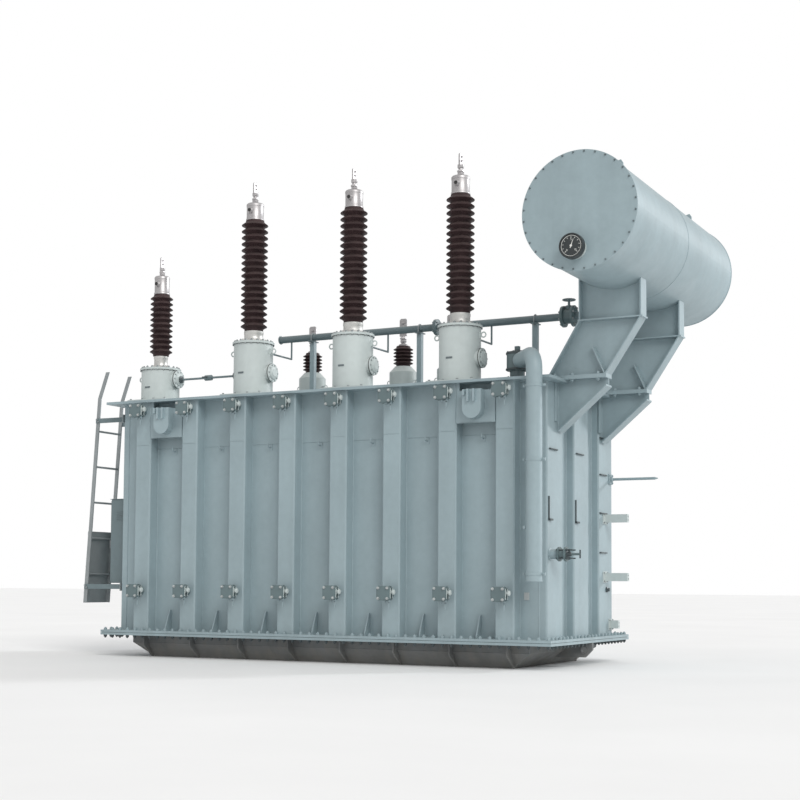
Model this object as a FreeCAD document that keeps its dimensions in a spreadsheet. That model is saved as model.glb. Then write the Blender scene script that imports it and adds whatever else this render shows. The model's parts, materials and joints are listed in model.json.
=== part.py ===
"""An oil-filled 110 kV power transformer with its radiators taken off, in millimetres.

+X runs along the tank towards the conservator, +Y to the low-voltage side and +Z up.
The origin is the centre of the flat face that the base rests on.
"""
import FreeCAD, Part
import os
import Sketcher

doc = FreeCAD.newDocument("PowerTransformer")
Vector = FreeCAD.Vector

# ---------------------------------------------------------------- driving dimensions

SIZES = [
    # base and flanges
    ("base_height", 260, "base, from the floor to the flange"),
    ("base_skirt", 90, "upright part of the base under the flange"),
    ("base_side_slope", 120, "how far the base draws in at its long sides"),
    ("base_end_inset", 110, "base skirt in from the tank's end walls"),
    ("base_end_slope", 240, "how far the base draws in at its ends"),
    ("flange_thick", 28, "one main flange"),
    ("gasket_thick", 4, "gasket between the main flanges"),
    ("gasket_inset", 12, "gasket edge behind the flange edge"),
    ("flange_reach", 220, "main flange beyond the tank wall"),
    # tank
    ("tank_length", 5460, "tank wall to tank wall, along X"),
    ("tank_width", 2080, "tank wall to tank wall, along Y"),
    ("wall_height", 2770, "tank wall, from the flange to the cover"),
    ("cover_thick", 30, "cover plate"),
    ("cover_reach", 205, "cover beyond the tank wall"),
    # stiffening ribs
    ("rib_count", 8, "ribs on each long side"),
    ("rib_width", 225, "rib on a long side"),
    ("rib_depth", 160, "rib on a long side, out from the wall"),
    ("rib_bend", 15, "bent corner of a rib"),
    ("rib_end_gap", 220, "last rib to the tank corner"),
    ("end_rib_count", 3, "ribs on each end"),
    ("end_rib_width", 460, "rib on an end"),
    ("end_rib_depth", 90, "rib on an end, out from the wall"),
    # small plates on the flange and the base
    ("web_thick", 16, "gussets and webs"),
    ("gusset_height", 250, "gusset on the main flange"),
    ("gusset_depth", 120, "gusset on the main flange, out from the wall"),
    ("gusset_tip", 30, "blunt tips of the gussets"),
    ("base_web_reach", 90, "base stiffener below the flange, out from the slope"),
    ("lug_thick", 40, "hauling lug"),
    ("lug_reach", 335, "hauling lug beyond the base skirt"),
    ("lug_height", 165, "hauling lug"),
    ("lug_corner", 85, "cut lower corner of a hauling lug"),
    ("lug_hole", 35, "radius of the hauling hole"),
    ("lug_hole_inset", 95, "hauling hole in from the lug's end"),
    # lifting brackets in the outer bays
    ("lift_slot_width", 390, "slot between the cover and a lifting plate"),
    ("lift_slot_height", 85, "slot between the cover and a lifting plate"),
    ("lift_plate_height", 440, "lifting plate, with its slot"),
    ("lift_plate_thick", 20, "lifting plate"),
    ("lift_block_width", 220, "block with a rounded foot on a lifting plate"),
    ("lift_block_height", 315, "block on a lifting plate"),
    ("lift_block_reach", 110, "block out from a lifting plate"),
    ("lift_lug_thick", 22, "one of the two lifting lugs on a block"),
    ("lift_lug_spread", 70, "middle of one lug to the middle of the other"),
    ("lift_lug_reach", 35, "lifting lugs beyond their block"),
    ("lift_lug_height", 135, "lifting lugs"),
    # radiator valves
    ("valve_upper_drop", 140, "upper valve centre below the cover plate's top"),
    ("valve_lower_rise", 480, "lower valve centre above the main flange"),
    ("valve_stub_radius", 52, "pipe stub of a radiator valve"),
    ("valve_stub_length", 90, "pipe stub of a radiator valve"),
    ("valve_flange_side", 160, "square valve flange"),
    ("valve_flange_corner", 22, "cut corner of a valve flange"),
    ("valve_flange_thick", 20, "valve flange"),
    ("valve_body_radius", 66, "valve body between its flanges"),
    ("valve_body_length", 36, "valve body between its flanges"),
    ("blank_thick", 14, "blank plate on a valve"),
    # turrets on the cover
    ("turret_edge_gap", 375, "turret axis behind the cover's edge"),
    ("turret_radius", 235, "turret barrel"),
    ("turret_height", 635, "high-voltage turret, without its top flange"),
    ("neutral_turret_height", 401, "neutral turret, without its top flange"),
    ("turret_pad_side", 570, "square pad under a turret"),
    ("turret_pad_thick", 25, "square pad under a turret"),
    ("turret_flange_radius", 252, "top flange of a turret"),
    ("turret_flange_thick", 25, "top flange of a turret"),
    ("terminal_box_radius", 95, "round terminal box on a turret"),
    ("terminal_box_reach", 34, "round terminal box beyond the barrel"),
    ("terminal_lid_radius", 110, "lid of a terminal box"),
    ("terminal_lid_thick", 16, "lid of a terminal box"),
    ("terminal_boss_radius", 48, "boss on the lid of a terminal box"),
    ("terminal_boss_reach", 24, "boss on the lid of a terminal box"),
    ("terminal_box_height", 285, "axis of the terminal box above the cover"),
    # bushings, high voltage first
    ("hv_foot_radius", 165, "foot flange of a bushing"),
    ("hv_foot_thick", 26, "foot flange of a bushing"),
    ("hv_collar_radius", 117, "metal collar of a bushing"),
    ("hv_collar_height", 140, "metal collar, with its foot"),
    ("hv_core_radius", 92, "porcelain core"),
    ("hv_shed_radius", 160, "porcelain sheds"),
    ("hv_shed_count", 18, "large sheds"),
    ("hv_shed_pitch", 71.5, "shed to shed"),
    ("hv_neck_height", 62, "bare porcelain above the sheds"),
    ("hv_cap_radius", 109, "metal cap"),
    ("hv_cap_height", 215, "metal cap"),
    ("hv_stud_radius", 27, "terminal stud"),
    ("hv_stud_height", 130, "terminal stud"),
    ("hv_palm_width", 80, "flat terminal palm"),
    ("hv_palm_height", 125, "flat terminal palm"),
    ("neutral_foot_radius", 125, "foot flange of the neutral bushing"),
    ("neutral_foot_thick", 22, "foot flange of the neutral bushing"),
    ("neutral_collar_radius", 87, "metal collar of the neutral bushing"),
    ("neutral_collar_height", 164, "metal collar, with its foot"),
    ("neutral_core_radius", 74, "porcelain core"),
    ("neutral_shed_radius", 140, "porcelain sheds"),
    ("neutral_shed_count", 12, "large sheds"),
    ("neutral_shed_pitch", 61.5, "shed to shed"),
    ("neutral_neck_height", 36, "bare porcelain above the sheds"),
    ("neutral_cap_radius", 98, "metal cap"),
    ("neutral_cap_height", 235, "metal cap"),
    ("neutral_stud_radius", 24, "terminal stud"),
    ("neutral_stud_height", 110, "terminal stud"),
    ("neutral_palm_width", 70, "flat terminal palm"),
    ("neutral_palm_height", 125, "flat terminal palm"),
    ("shed_root", 26, "thickness of a shed at the core"),
    ("shed_edge", 8, "thickness of a shed at its edge"),
    ("cap_foot_thick", 30, "rim at the foot of a cap"),
    ("cap_step", 16, "cap barrel inside its rim"),
    ("cap_shoulder", 34, "sloping shoulder of a cap"),
    ("palm_thick", 18, "terminal palm"),
    ("tap_radius", 30, "round tap on a cap"),
    ("tap_reach", 34, "round tap beyond the cap barrel"),
    # low-voltage row behind
    ("lv_edge_gap", 645, "low-voltage axis in front of the cover's rear edge"),
    ("lv_pitch", 660, "low-voltage bushing to bushing"),
    ("lv_offset", -88, "middle of the low-voltage row, along X"),
    ("lv_count", 4, "low-voltage bushings"),
    ("lv_turret_radius", 172, "low-voltage turret"),
    ("lv_turret_height", 417, "low-voltage turret"),
    ("lv_cone_height", 76, "cone on a low-voltage turret"),
    ("lv_core_radius", 78, "low-voltage porcelain core"),
    ("lv_shed_radius", 125, "low-voltage sheds"),
    ("lv_shed_count", 5, "low-voltage sheds"),
    ("lv_shed_pitch", 48, "shed to shed"),
    ("lv_neck_height", 17, "bare porcelain above the sheds"),
    ("lv_stud_radius", 26, "low-voltage stud"),
    ("lv_stud_height", 140, "low-voltage stud"),
    ("lv_palm_width", 100, "low-voltage palm"),
    ("lv_palm_height", 210, "low-voltage palm"),
    # header pipe and what belongs to it
    ("header_height", 840, "header axis above the cover"),
    ("header_radius", 43, "header pipe"),
    ("header_overhang", 170, "header beyond the first turret's axis"),
    ("header_end_reach", 20, "header beyond the tank's end wall"),
    ("header_post_side", 60, "square post"),
    ("header_post_inset", 485, "outer posts in from the header's ends"),
    ("header_foot_side", 160, "foot plate of a post"),
    ("header_foot_thick", 14, "foot plate of a post"),
    ("header_valve_radius", 122, "flanges of the header valve"),
    ("header_valve_length", 150, "header valve"),
    ("header_valve_body", 84, "body of the header valve"),
    ("vent_radius", 11, "vent pipe"),
    ("vent_drop", 47, "vent pipe below the turret's top flange"),
    ("link_height", 280, "link pipe above the cover"),
    ("link_radius", 13, "link pipe between the first two turrets"),
    ("link_valve_radius", 34, "small valve on the link pipe"),
    ("link_valve_length", 90, "small valve on the link pipe"),
    # pressure relief device
    ("relief_edge_gap", 395, "relief device behind the cover's edge"),
    ("relief_flange_radius", 150, "foot flange"),
    ("relief_flange_thick", 28, "foot flange"),
    ("relief_neck_radius", 82, "neck"),
    ("relief_neck_height", 90, "neck, above the foot flange"),
    ("relief_body_radius", 118, "housing"),
    ("relief_body_height", 200, "housing"),
    ("relief_knob_radius", 32, "knob on the housing"),
    ("relief_knob_height", 70, "knob on the housing"),
    ("discharge_radius", 87, "discharge pipe"),
    ("discharge_offset", 400, "drop of the discharge pipe beyond the relief device, along X"),
    ("discharge_clear", 18, "discharge pipe clear of the cover's edge"),
    ("discharge_bend", 170, "elbow radius"),
    ("discharge_foot", 940, "open end of the discharge pipe above the floor"),
    # conservator
    ("conservator_offset", 740, "conservator axis beyond the tank's end wall"),
    ("feed_rise", 115, "conservator's underside above the header's axis"),
    ("conservator_radius", 605, "outside of the shell"),
    ("conservator_length", 3600, "shell, without its ends"),
    ("conservator_wall", 8, "shell"),
    ("end_rim", 13, "bolted end cover beyond the shell"),
    ("end_cover_thick", 18, "bolted end cover"),
    ("end_flange_thick", 20, "flange ring behind the end cover"),
    ("head_depth", 110, "rise of the dished rear head"),
    ("gauge_edge_gap", 85, "gauge head in from the edge of the shell"),
    ("gauge_shift", 30, "gauge axis beside the conservator's axis"),
    ("gauge_neck_radius", 96, "gauge neck"),
    ("gauge_neck_length", 72, "gauge neck"),
    ("gauge_radius", 130, "gauge head"),
    ("gauge_length", 78, "gauge head"),
    # conservator supports
    ("support_shift", 110, "support's web in from the middle of the outer end rib"),
    ("support_width", 180, "flanges of a support"),
    ("support_flange", 16, "flange plates of a support"),
    ("support_foot_width", 665, "foot of a support, along X"),
    ("support_foot_thick", 22, "foot plate, one of a bolted pair"),
    ("support_knee", 590, "knee of a support above its foot"),
    ("support_head_shift", 35, "middle of a support's head in from the conservator's axis"),
    ("knee_plate_reach", 14, "knee plate beyond the flanges of a support"),
    ("support_head_width", 700, "upright head of a support, along X"),
    ("support_wrap", 200, "how far a support may rise beside the shell's underside"),
    ("seat_gap", 0.3, "support to the conservator's shell"),
    ("bracket_drop", 560, "bracket on the end wall, below the cover's top"),
    ("bracket_nose", 90, "upright edge at the bracket's outer end"),
    # end wall fittings
    ("drain_height", 1230, "drain valve above the floor"),
    ("drain_stub_radius", 50, "drain stub"),
    ("drain_stub_length", 95, "drain stub, out from the end rib"),
    ("drain_flange_radius", 78, "drain valve flanges"),
    ("drain_flange_thick", 20, "drain valve flanges"),
    ("drain_valve_length", 96, "drain valve, flange face to flange face"),
    ("drain_body_radius", 56, "drain valve body"),
    ("drain_handle_reach", 150, "drain valve spindle"),
    ("drain_handle_radius", 13, "drain valve spindle"),
    ("drain_corner_gap", 95, "drain valve in from the tank's front corner"),
    ("arm_low", 395, "lowest cable bracket above the floor"),
    ("arm_middle", 950, "middle cable bracket above the floor"),
    ("arm_high", 1635, "highest cable bracket above the floor"),
    ("arm_height", 95, "arm of a cable bracket"),
    ("arm_width", 60, "arm of a cable bracket"),
    ("arm_reach", 290, "arm of a cable bracket, out from its rib"),
    ("low_arm_reach", 110, "lowest arm, out from its rib"),
    ("arm_pad_side", 130, "pad plate of a cable bracket"),
    ("arm_pad_thick", 12, "pad plate of a cable bracket"),
    ("arm_shift", 30, "upper cable brackets in from the middle of the outer end rib"),
    ("low_arm_gap", 70, "lowest cable bracket in from the tank's rear corner"),
    ("rod_height", 2155, "side rod above the floor"),
    ("rod_radius", 16, "side rod"),
    ("rod_length", 550, "side rod beyond the end rib"),
    ("rod_tip", 40, "pointed tip of the side rod"),
    ("rod_side_gap", 65, "side rod in from the tank's corner"),
    ("rod_pad_side", 120, "pad under the side rod"),
    ("rod_pad_thick", 14, "pad under the side rod"),
    # ladder on the other end
    ("ladder_corner_gap", 90, "ladder in from the tank's front corner"),
    ("ladder_width", 460, "rail to rail"),
    ("ladder_rail_width", 50, "rail, in the ladder's depth"),
    ("ladder_rail_thick", 14, "rail"),
    ("ladder_foot", 640, "foot of the ladder above the floor"),
    ("ladder_foot_reach", 750, "foot of the ladder beyond the end wall"),
    ("ladder_top_reach", 580, "top of the straight rails beyond the end wall"),
    ("ladder_top_rise", 100, "straight rails above the cover"),
    ("ladder_horn_rise", 330, "tips of the rails above the straight part"),
    ("ladder_horn_lean", 120, "tips of the rails in towards the cover"),
    ("rung_radius", 13, "rung"),
    ("rung_pitch", 450, "rung to rung"),
    ("rung_first", 365, "lowest rung above the ladder's foot"),
    ("stay_height", 60, "ladder stay"),
    ("stay_thick", 10, "ladder stay"),
    ("stay_low", 175, "lower stays above the ladder's foot"),
    ("stay_drop", 215, "upper stays below the cover's top"),
    ("guard_thick", 4, "locked guard sheet"),
    ("guard_height", 900, "locked guard sheet"),
    ("cabinet_stay_gap", 15, "control cabinet above the lower stays"),
    ("cabinet_height", 1050, "control cabinet"),
    ("cabinet_width", 600, "control cabinet, along Y"),
    ("cabinet_depth", 280, "control cabinet, out from the ribs"),
    ("cabinet_corner_gap", 140, "control cabinet in from the tank's front corner"),
]

sheet = doc.addObject("Spreadsheet::Sheet", "Sizes")
for row, (alias, size, note) in enumerate(SIZES, start=1):
    sheet.set(f"A{row}", note)
    sheet.set(f"B{row}", str(size))
    sheet.setAlias(f"B{row}", alias)
doc.recompute()

# ---------------------------------------------------------------- worked-out places
# Each is an expression over the sheet's cells.

LOWER_FLANGE_Z = "Sizes.base_height"
GASKET_Z = f"({LOWER_FLANGE_Z} + Sizes.flange_thick)"
UPPER_FLANGE_Z = f"({GASKET_Z} + Sizes.gasket_thick)"
TANK_Z = f"({UPPER_FLANGE_Z} + Sizes.flange_thick)"
COVER_Z = f"({TANK_Z} + Sizes.wall_height)"
TOP_Z = f"({COVER_Z} + Sizes.cover_thick)"

WALL_X = "(Sizes.tank_length / 2)"
WALL_Y = "(Sizes.tank_width / 2)"
SKIRT_X = f"({WALL_X} - Sizes.base_end_inset)"
RIB_Y = f"({WALL_Y} + Sizes.rib_depth)"
END_RIB_X = f"({WALL_X} + Sizes.end_rib_depth)"
COVER_X = f"({WALL_X} + Sizes.cover_reach)"
COVER_Y = f"({WALL_Y} + Sizes.cover_reach)"

RIB_SPAN = "(Sizes.tank_length - 2 * Sizes.rib_end_gap - Sizes.rib_width)"
RIB_PITCH = f"({RIB_SPAN} / (Sizes.rib_count - 1))"
END_RIB_SPAN = "(Sizes.tank_width - Sizes.end_rib_width)"
END_RIB_Y = f"({END_RIB_SPAN} / 2)"

SUPPORT_Y = f"({END_RIB_Y} - Sizes.support_shift)"

TURRET_Y = f"(-{COVER_Y} + Sizes.turret_edge_gap)"
LV_Y = f"({COVER_Y} - Sizes.lv_edge_gap)"
RELIEF_X = f"({RIB_SPAN} / 2)"
RELIEF_Y = f"(-{COVER_Y} + Sizes.relief_edge_gap)"

AXES = {
    "+X": Vector(1, 0, 0),
    "-X": Vector(-1, 0, 0),
    "+Y": Vector(0, 1, 0),
    "-Y": Vector(0, -1, 0),
    "+Z": Vector(0, 0, 1),
    "-Z": Vector(0, 0, -1),
}
FRONT_TO_REAR = 180
nodes = []


def rib_x(index):
    """Where a rib's middle lies along X, counted from the first."""
    return f"(-{RIB_SPAN} / 2 + {index} * {RIB_PITCH})"


# ---------------------------------------------------------------- building blocks


def value(rule):
    """What an expression over the sheet comes to now."""
    return float(sheet.evalExpression(rule))


def place(item, x="0", y="0", z="0", rotation=None):
    """Bind where an object stands, after any fixed turn."""
    if rotation is not None:
        item.Placement = FreeCAD.Placement(Vector(0, 0, 0), rotation)
    for axis_name, rule in (("x", x), ("y", y), ("z", z)):
        item.setExpression(f"Placement.Base.{axis_name}", rule)
    return item


def box(name, middle, base_z, size):
    """A block that stands on base_z, centred on middle along X and Y."""
    block = doc.addObject("Part::Box", name)
    for side, rule in zip(("Length", "Width", "Height"), size):
        block.setExpression(side, rule)
    return place(
        block,
        f"{middle[0]} - ({size[0]}) / 2",
        f"{middle[1]} - ({size[1]}) / 2",
        base_z,
    )


def rod(name, start, along, radius, length):
    """A round bar from start, along one of the six axis directions."""
    bar = doc.addObject("Part::Cylinder", name)
    bar.setExpression("Radius", radius)
    bar.setExpression("Height", length)
    return place(bar, *start, FreeCAD.Rotation(AXES["+Z"], AXES[along]))


def ball(name, centre, radius):
    """A round joint where two pipes of the same size meet."""
    joint = doc.addObject("Part::Sphere", name)
    joint.setExpression("Radius", radius)
    return place(joint, *centre)


def keep(item, label):
    """Make an object one of the transformer's sub-parts."""
    item.Label = label
    nodes.append(item)
    return item


def fuse(name, pieces):
    """Pieces that are welded or cast into one."""
    joined = doc.addObject("Part::MultiFuse", name)
    joined.Shapes = pieces
    joined.Refine = True
    return joined


def cut(name, base, tool):
    """The base with the tool taken out of it."""
    result = doc.addObject("Part::Cut", name)
    result.Base = base
    result.Tool = tool
    return result


def together(name, pieces):
    """Like pieces that stand apart and share a sub-part."""
    group = doc.addObject("Part::Compound", name)
    group.Links = pieces
    return group


def new_body(name, x="0", y="0", z="0", rotation=None):
    body = doc.addObject("PartDesign::Body", name)
    body.AllowCompound = True
    return place(body, x, y, z, rotation)


def origin_item(body, role):
    return next(item for item in body.Origin.OriginFeatures if item.Role == role)


def new_sketch(body, plane, offset="0"):
    """A sketch on an origin plane, moved along the plane's normal."""
    sketch = body.newObject("Sketcher::SketchObject", f"{body.Name}_sketch")
    sketch.AttachmentSupport = [(origin_item(body, plane), "")]
    sketch.MapMode = "FlatFace"
    sketch.setExpression("AttachmentOffset.Base.z", offset)
    return sketch


def bound(sketch, kind, geometry, point, rule):
    """Hold a point's distance from the sketch's origin at an expression."""
    constraint = Sketcher.Constraint(kind, -1, 1, geometry, point, value(rule))
    index = sketch.addConstraint(constraint)
    sketch.setExpression(f"Constraints[{index}]", rule)


def outline(sketch, corners):
    """A closed outline of straight edges, each corner bound to the sheet."""
    points = [Vector(value(across), value(up), 0) for across, up in corners]
    first = sketch.GeometryCount
    count = len(points)
    for index in range(count):
        sketch.addGeometry(Part.LineSegment(points[index], points[(index + 1) % count]))
    for index in range(count):
        following = first + (index + 1) % count
        sketch.addConstraint(Sketcher.Constraint("Coincident", first + index, 2, following, 1))
    for index, (across, up) in enumerate(corners):
        bound(sketch, "DistanceX", first + index, 1, across)
        bound(sketch, "DistanceY", first + index, 1, up)


def circle(sketch, across, up, radius):
    """A circle whose centre and radius are bound to the sheet."""
    centre = Vector(value(across), value(up), 0)
    index = sketch.addGeometry(Part.Circle(centre, Vector(0, 0, 1), value(radius)))
    bound(sketch, "DistanceX", index, 3, across)
    bound(sketch, "DistanceY", index, 3, up)
    constraint = sketch.addConstraint(Sketcher.Constraint("Radius", index, value(radius)))
    sketch.setExpression(f"Constraints[{constraint}]", radius)


def pad(body, sketch, length, midplane=False):
    """Thicken a sketch along its normal, or evenly to both sides of it."""
    feature = body.newObject("PartDesign::Pad", f"{body.Name}_pad")
    feature.Profile = sketch
    feature.Midplane = midplane
    feature.setExpression("Length", length)
    return feature


def pocket(body, sketch):
    """Cut a sketch right through, to both sides of it."""
    feature = body.newObject("PartDesign::Pocket", f"{body.Name}_pocket")
    feature.Profile = sketch
    feature.Midplane = True
    feature.Type = "ThroughAll"
    return feature


def turn(body, corners):
    """Turn an outline of (radius, height) corners about the body's Z axis."""
    sketch = new_sketch(body, "XZ_Plane")
    outline(sketch, corners)
    feature = body.newObject("PartDesign::Revolution", f"{body.Name}_turned")
    feature.Profile = sketch
    feature.ReferenceAxis = (sketch, ["V_Axis"])
    feature.Angle = 360
    return feature


def repeat(body, features, axis, pitch, count):
    """Repeat features along one of the body's own axes."""
    pattern = body.newObject("PartDesign::LinearPattern", f"{body.Name}_row")
    pattern.Originals = features
    pattern.Direction = (origin_item(body, axis), [""])
    pattern.setExpression("Length", f"({count} - 1) * {pitch}")
    pattern.setExpression("Occurrences", count)
    body.Tip = pattern
    return pattern


def facing(side):
    """The turn that takes a front row to its side of the tank."""
    angle = 0 if side == "front" else FRONT_TO_REAR
    return FreeCAD.Rotation(AXES["+Z"], angle)


def stepped(steps):
    """The (radius, height) outline of a stack of discs, from (radius, thickness) pairs."""
    corners = [("0", "0")]
    height = "0"
    for radius, thickness in steps:
        corners.append((radius, height))
        height = f"({height} + {thickness})"
        corners.append((radius, height))
    corners.append(("0", height))
    return corners


# ---------------------------------------------------------------- base and flanges


def make_base():
    """The boat-shaped lower tank: a flat bottom, sloping sides and an upright skirt."""
    slope_height = "(Sizes.base_height - Sizes.base_skirt)"
    hull = doc.addObject("Part::Wedge", "base_hull")
    bottom_x = f"({SKIRT_X} - Sizes.base_end_slope)"
    bottom_y = f"({WALL_Y} - Sizes.base_side_slope)"
    for name, rule in (
        ("Xmin", f"-{bottom_x}"),
        ("Xmax", bottom_x),
        ("Zmin", f"-{bottom_y}"),
        ("Zmax", bottom_y),
        ("Ymin", "0"),
        ("Ymax", slope_height),
        ("X2min", f"-{SKIRT_X}"),
        ("X2max", SKIRT_X),
        ("Z2min", f"-{WALL_Y}"),
        ("Z2max", WALL_Y),
    ):
        hull.setExpression(name, rule)
    place(hull, rotation=FreeCAD.Rotation(AXES["+Y"], AXES["+Z"]))
    skirt = box(
        "base_skirt_block",
        ("0", "0"),
        slope_height,
        (f"2 * {SKIRT_X}", "Sizes.tank_width", "Sizes.base_skirt"),
    )
    keep(fuse("lower_tank_weldment", [hull, skirt]), "lower_tank")


def make_base_stiffeners():
    """Upright webs on the base's long slopes, one under each rib."""
    slope_height = "(Sizes.base_height - Sizes.base_skirt)"
    rows = []
    for side in ("front", "rear"):
        body = new_body(f"{side}_base_webs", rotation=facing(side))
        sketch = new_sketch(body, "YZ_Plane", rib_x(0))
        outline(
            sketch,
            [
                (f"-{WALL_Y}", slope_height),
                (f"-{WALL_Y} + Sizes.base_side_slope", "0"),
                (f"-{WALL_Y} + Sizes.base_side_slope - Sizes.gusset_tip", "0"),
                (f"-{WALL_Y} - Sizes.base_web_reach", f"{slope_height} - Sizes.gusset_tip"),
                (f"-{WALL_Y} - Sizes.base_web_reach", "Sizes.base_height"),
                (f"-{WALL_Y}", "Sizes.base_height"),
            ],
        )
        web = pad(body, sketch, "Sizes.web_thick", midplane=True)
        repeat(body, [web], "X_Axis", RIB_PITCH, "Sizes.rib_count")
        rows.append(body)
    keep(together("base_web_rows", rows), "base_stiffeners")


def make_hauling_lugs():
    """A thick eye plate under the flange at the middle of each end."""
    lugs = []
    for side in ("right", "left"):
        angle = 0 if side == "right" else FRONT_TO_REAR
        body = new_body(f"{side}_hauling_lug", rotation=FreeCAD.Rotation(AXES["+Z"], angle))
        sketch = new_sketch(body, "XZ_Plane")
        low = "(Sizes.base_height - Sizes.lug_height)"
        slope = "(Sizes.base_end_slope / (Sizes.base_height - Sizes.base_skirt))"
        foot_x = f"({SKIRT_X} - (Sizes.lug_height - Sizes.base_skirt) * {slope})"
        tip_x = f"({SKIRT_X} + Sizes.lug_reach)"
        outline(
            sketch,
            [
                (SKIRT_X, "Sizes.base_height"),
                (SKIRT_X, "Sizes.base_height - Sizes.base_skirt"),
                (foot_x, low),
                (f"{tip_x} - Sizes.lug_corner", low),
                (tip_x, f"{low} + Sizes.lug_corner"),
                (tip_x, "Sizes.base_height"),
            ],
        )
        circle(
            sketch,
            f"{tip_x} - Sizes.lug_hole_inset",
            f"{low} + Sizes.lug_height / 2",
            "Sizes.lug_hole",
        )
        pad(body, sketch, "Sizes.lug_thick", midplane=True)
        lugs.append(body)
    keep(together("hauling_lug_pair", lugs), "hauling_lugs")


def make_flanges():
    """The two main flanges, bolted face to face over a gasket."""
    length = "(Sizes.tank_length + 2 * Sizes.flange_reach)"
    width = "(Sizes.tank_width + 2 * Sizes.flange_reach)"
    inset = "2 * Sizes.gasket_inset"
    middle = ("0", "0")
    flange_size = (length, width, "Sizes.flange_thick")
    gasket_size = (f"{length} - {inset}", f"{width} - {inset}", "Sizes.gasket_thick")
    keep(box("lower_flange_plate", middle, LOWER_FLANGE_Z, flange_size), "lower_flange")
    keep(box("gasket_plate", middle, GASKET_Z, gasket_size), "flange_gasket")
    keep(box("upper_flange_plate", middle, UPPER_FLANGE_Z, flange_size), "upper_flange")


def make_flange_gussets():
    """Triangular gussets between the wall and the upper flange, one in each bay."""
    rows = []
    for side in ("front", "rear"):
        body = new_body(f"{side}_gusset_row", z=TANK_Z, rotation=facing(side))
        sketch = new_sketch(body, "YZ_Plane", f"{rib_x(0)} + {RIB_PITCH} / 2")
        outline(
            sketch,
            [
                (f"-{WALL_Y}", "0"),
                (f"-{WALL_Y}", "Sizes.gusset_height"),
                (f"-{WALL_Y} - Sizes.gusset_tip", "Sizes.gusset_height"),
                (f"-{WALL_Y} - Sizes.gusset_depth", "Sizes.gusset_tip"),
                (f"-{WALL_Y} - Sizes.gusset_depth", "0"),
            ],
        )
        gusset = pad(body, sketch, "Sizes.web_thick", midplane=True)
        repeat(body, [gusset], "X_Axis", RIB_PITCH, "(Sizes.rib_count - 1)")
        rows.append(body)
    keep(together("gusset_rows", rows), "flange_gussets")


# ---------------------------------------------------------------- tank


def make_tank():
    """The closed tank wall and the cover that is welded on it."""
    tank_size = ("Sizes.tank_length", "Sizes.tank_width", "Sizes.wall_height")
    keep(box("tank_walls", ("0", "0"), TANK_Z, tank_size), "tank_body")
    cover_size = (f"2 * {COVER_X}", f"2 * {COVER_Y}", "Sizes.cover_thick")
    keep(box("cover_plate", ("0", "0"), COVER_Z, cover_size), "cover")


def rib_outline(wall, width, depth):
    """A bent channel, seen from above, standing out from the wall along -Y."""
    half = f"({width} / 2)"
    bend = "Sizes.rib_bend"
    return [
        (f"-{half}", f"-{wall}"),
        (f"-{half}", f"-{wall} - {depth} + {bend}"),
        (f"-{half} + {bend}", f"-{wall} - {depth}"),
        (f"{half} - {bend}", f"-{wall} - {depth}"),
        (half, f"-{wall} - {depth} + {bend}"),
        (half, f"-{wall}"),
    ]


def make_ribs():
    """Bent channels that stiffen the tank's four walls."""
    for side in ("front", "rear"):
        body = new_body(f"{side}_rib_row", z=TANK_Z, rotation=facing(side))
        sketch = new_sketch(body, "XY_Plane")
        outline(sketch, rib_outline(WALL_Y, "Sizes.rib_width", "Sizes.rib_depth"))
        sketch.setExpression("AttachmentOffset.Base.x", rib_x(0))
        rib = pad(body, sketch, "Sizes.wall_height")
        repeat(body, [rib], "X_Axis", RIB_PITCH, "Sizes.rib_count")
        keep(body, f"{side}_ribs")
    for side, angle in (("right", 90), ("left", -90)):
        turned = FreeCAD.Rotation(AXES["+Z"], angle)
        body = new_body(f"{side}_end_rib_row", z=TANK_Z, rotation=turned)
        sketch = new_sketch(body, "XY_Plane")
        outline(sketch, rib_outline(WALL_X, "Sizes.end_rib_width", "Sizes.end_rib_depth"))
        sketch.setExpression("AttachmentOffset.Base.x", f"-{END_RIB_Y}")
        rib = pad(body, sketch, "Sizes.wall_height")
        pitch = f"({END_RIB_SPAN} / (Sizes.end_rib_count - 1))"
        repeat(body, [rib], "X_Axis", pitch, "Sizes.end_rib_count")
        keep(body, f"{side}_end_ribs")


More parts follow.
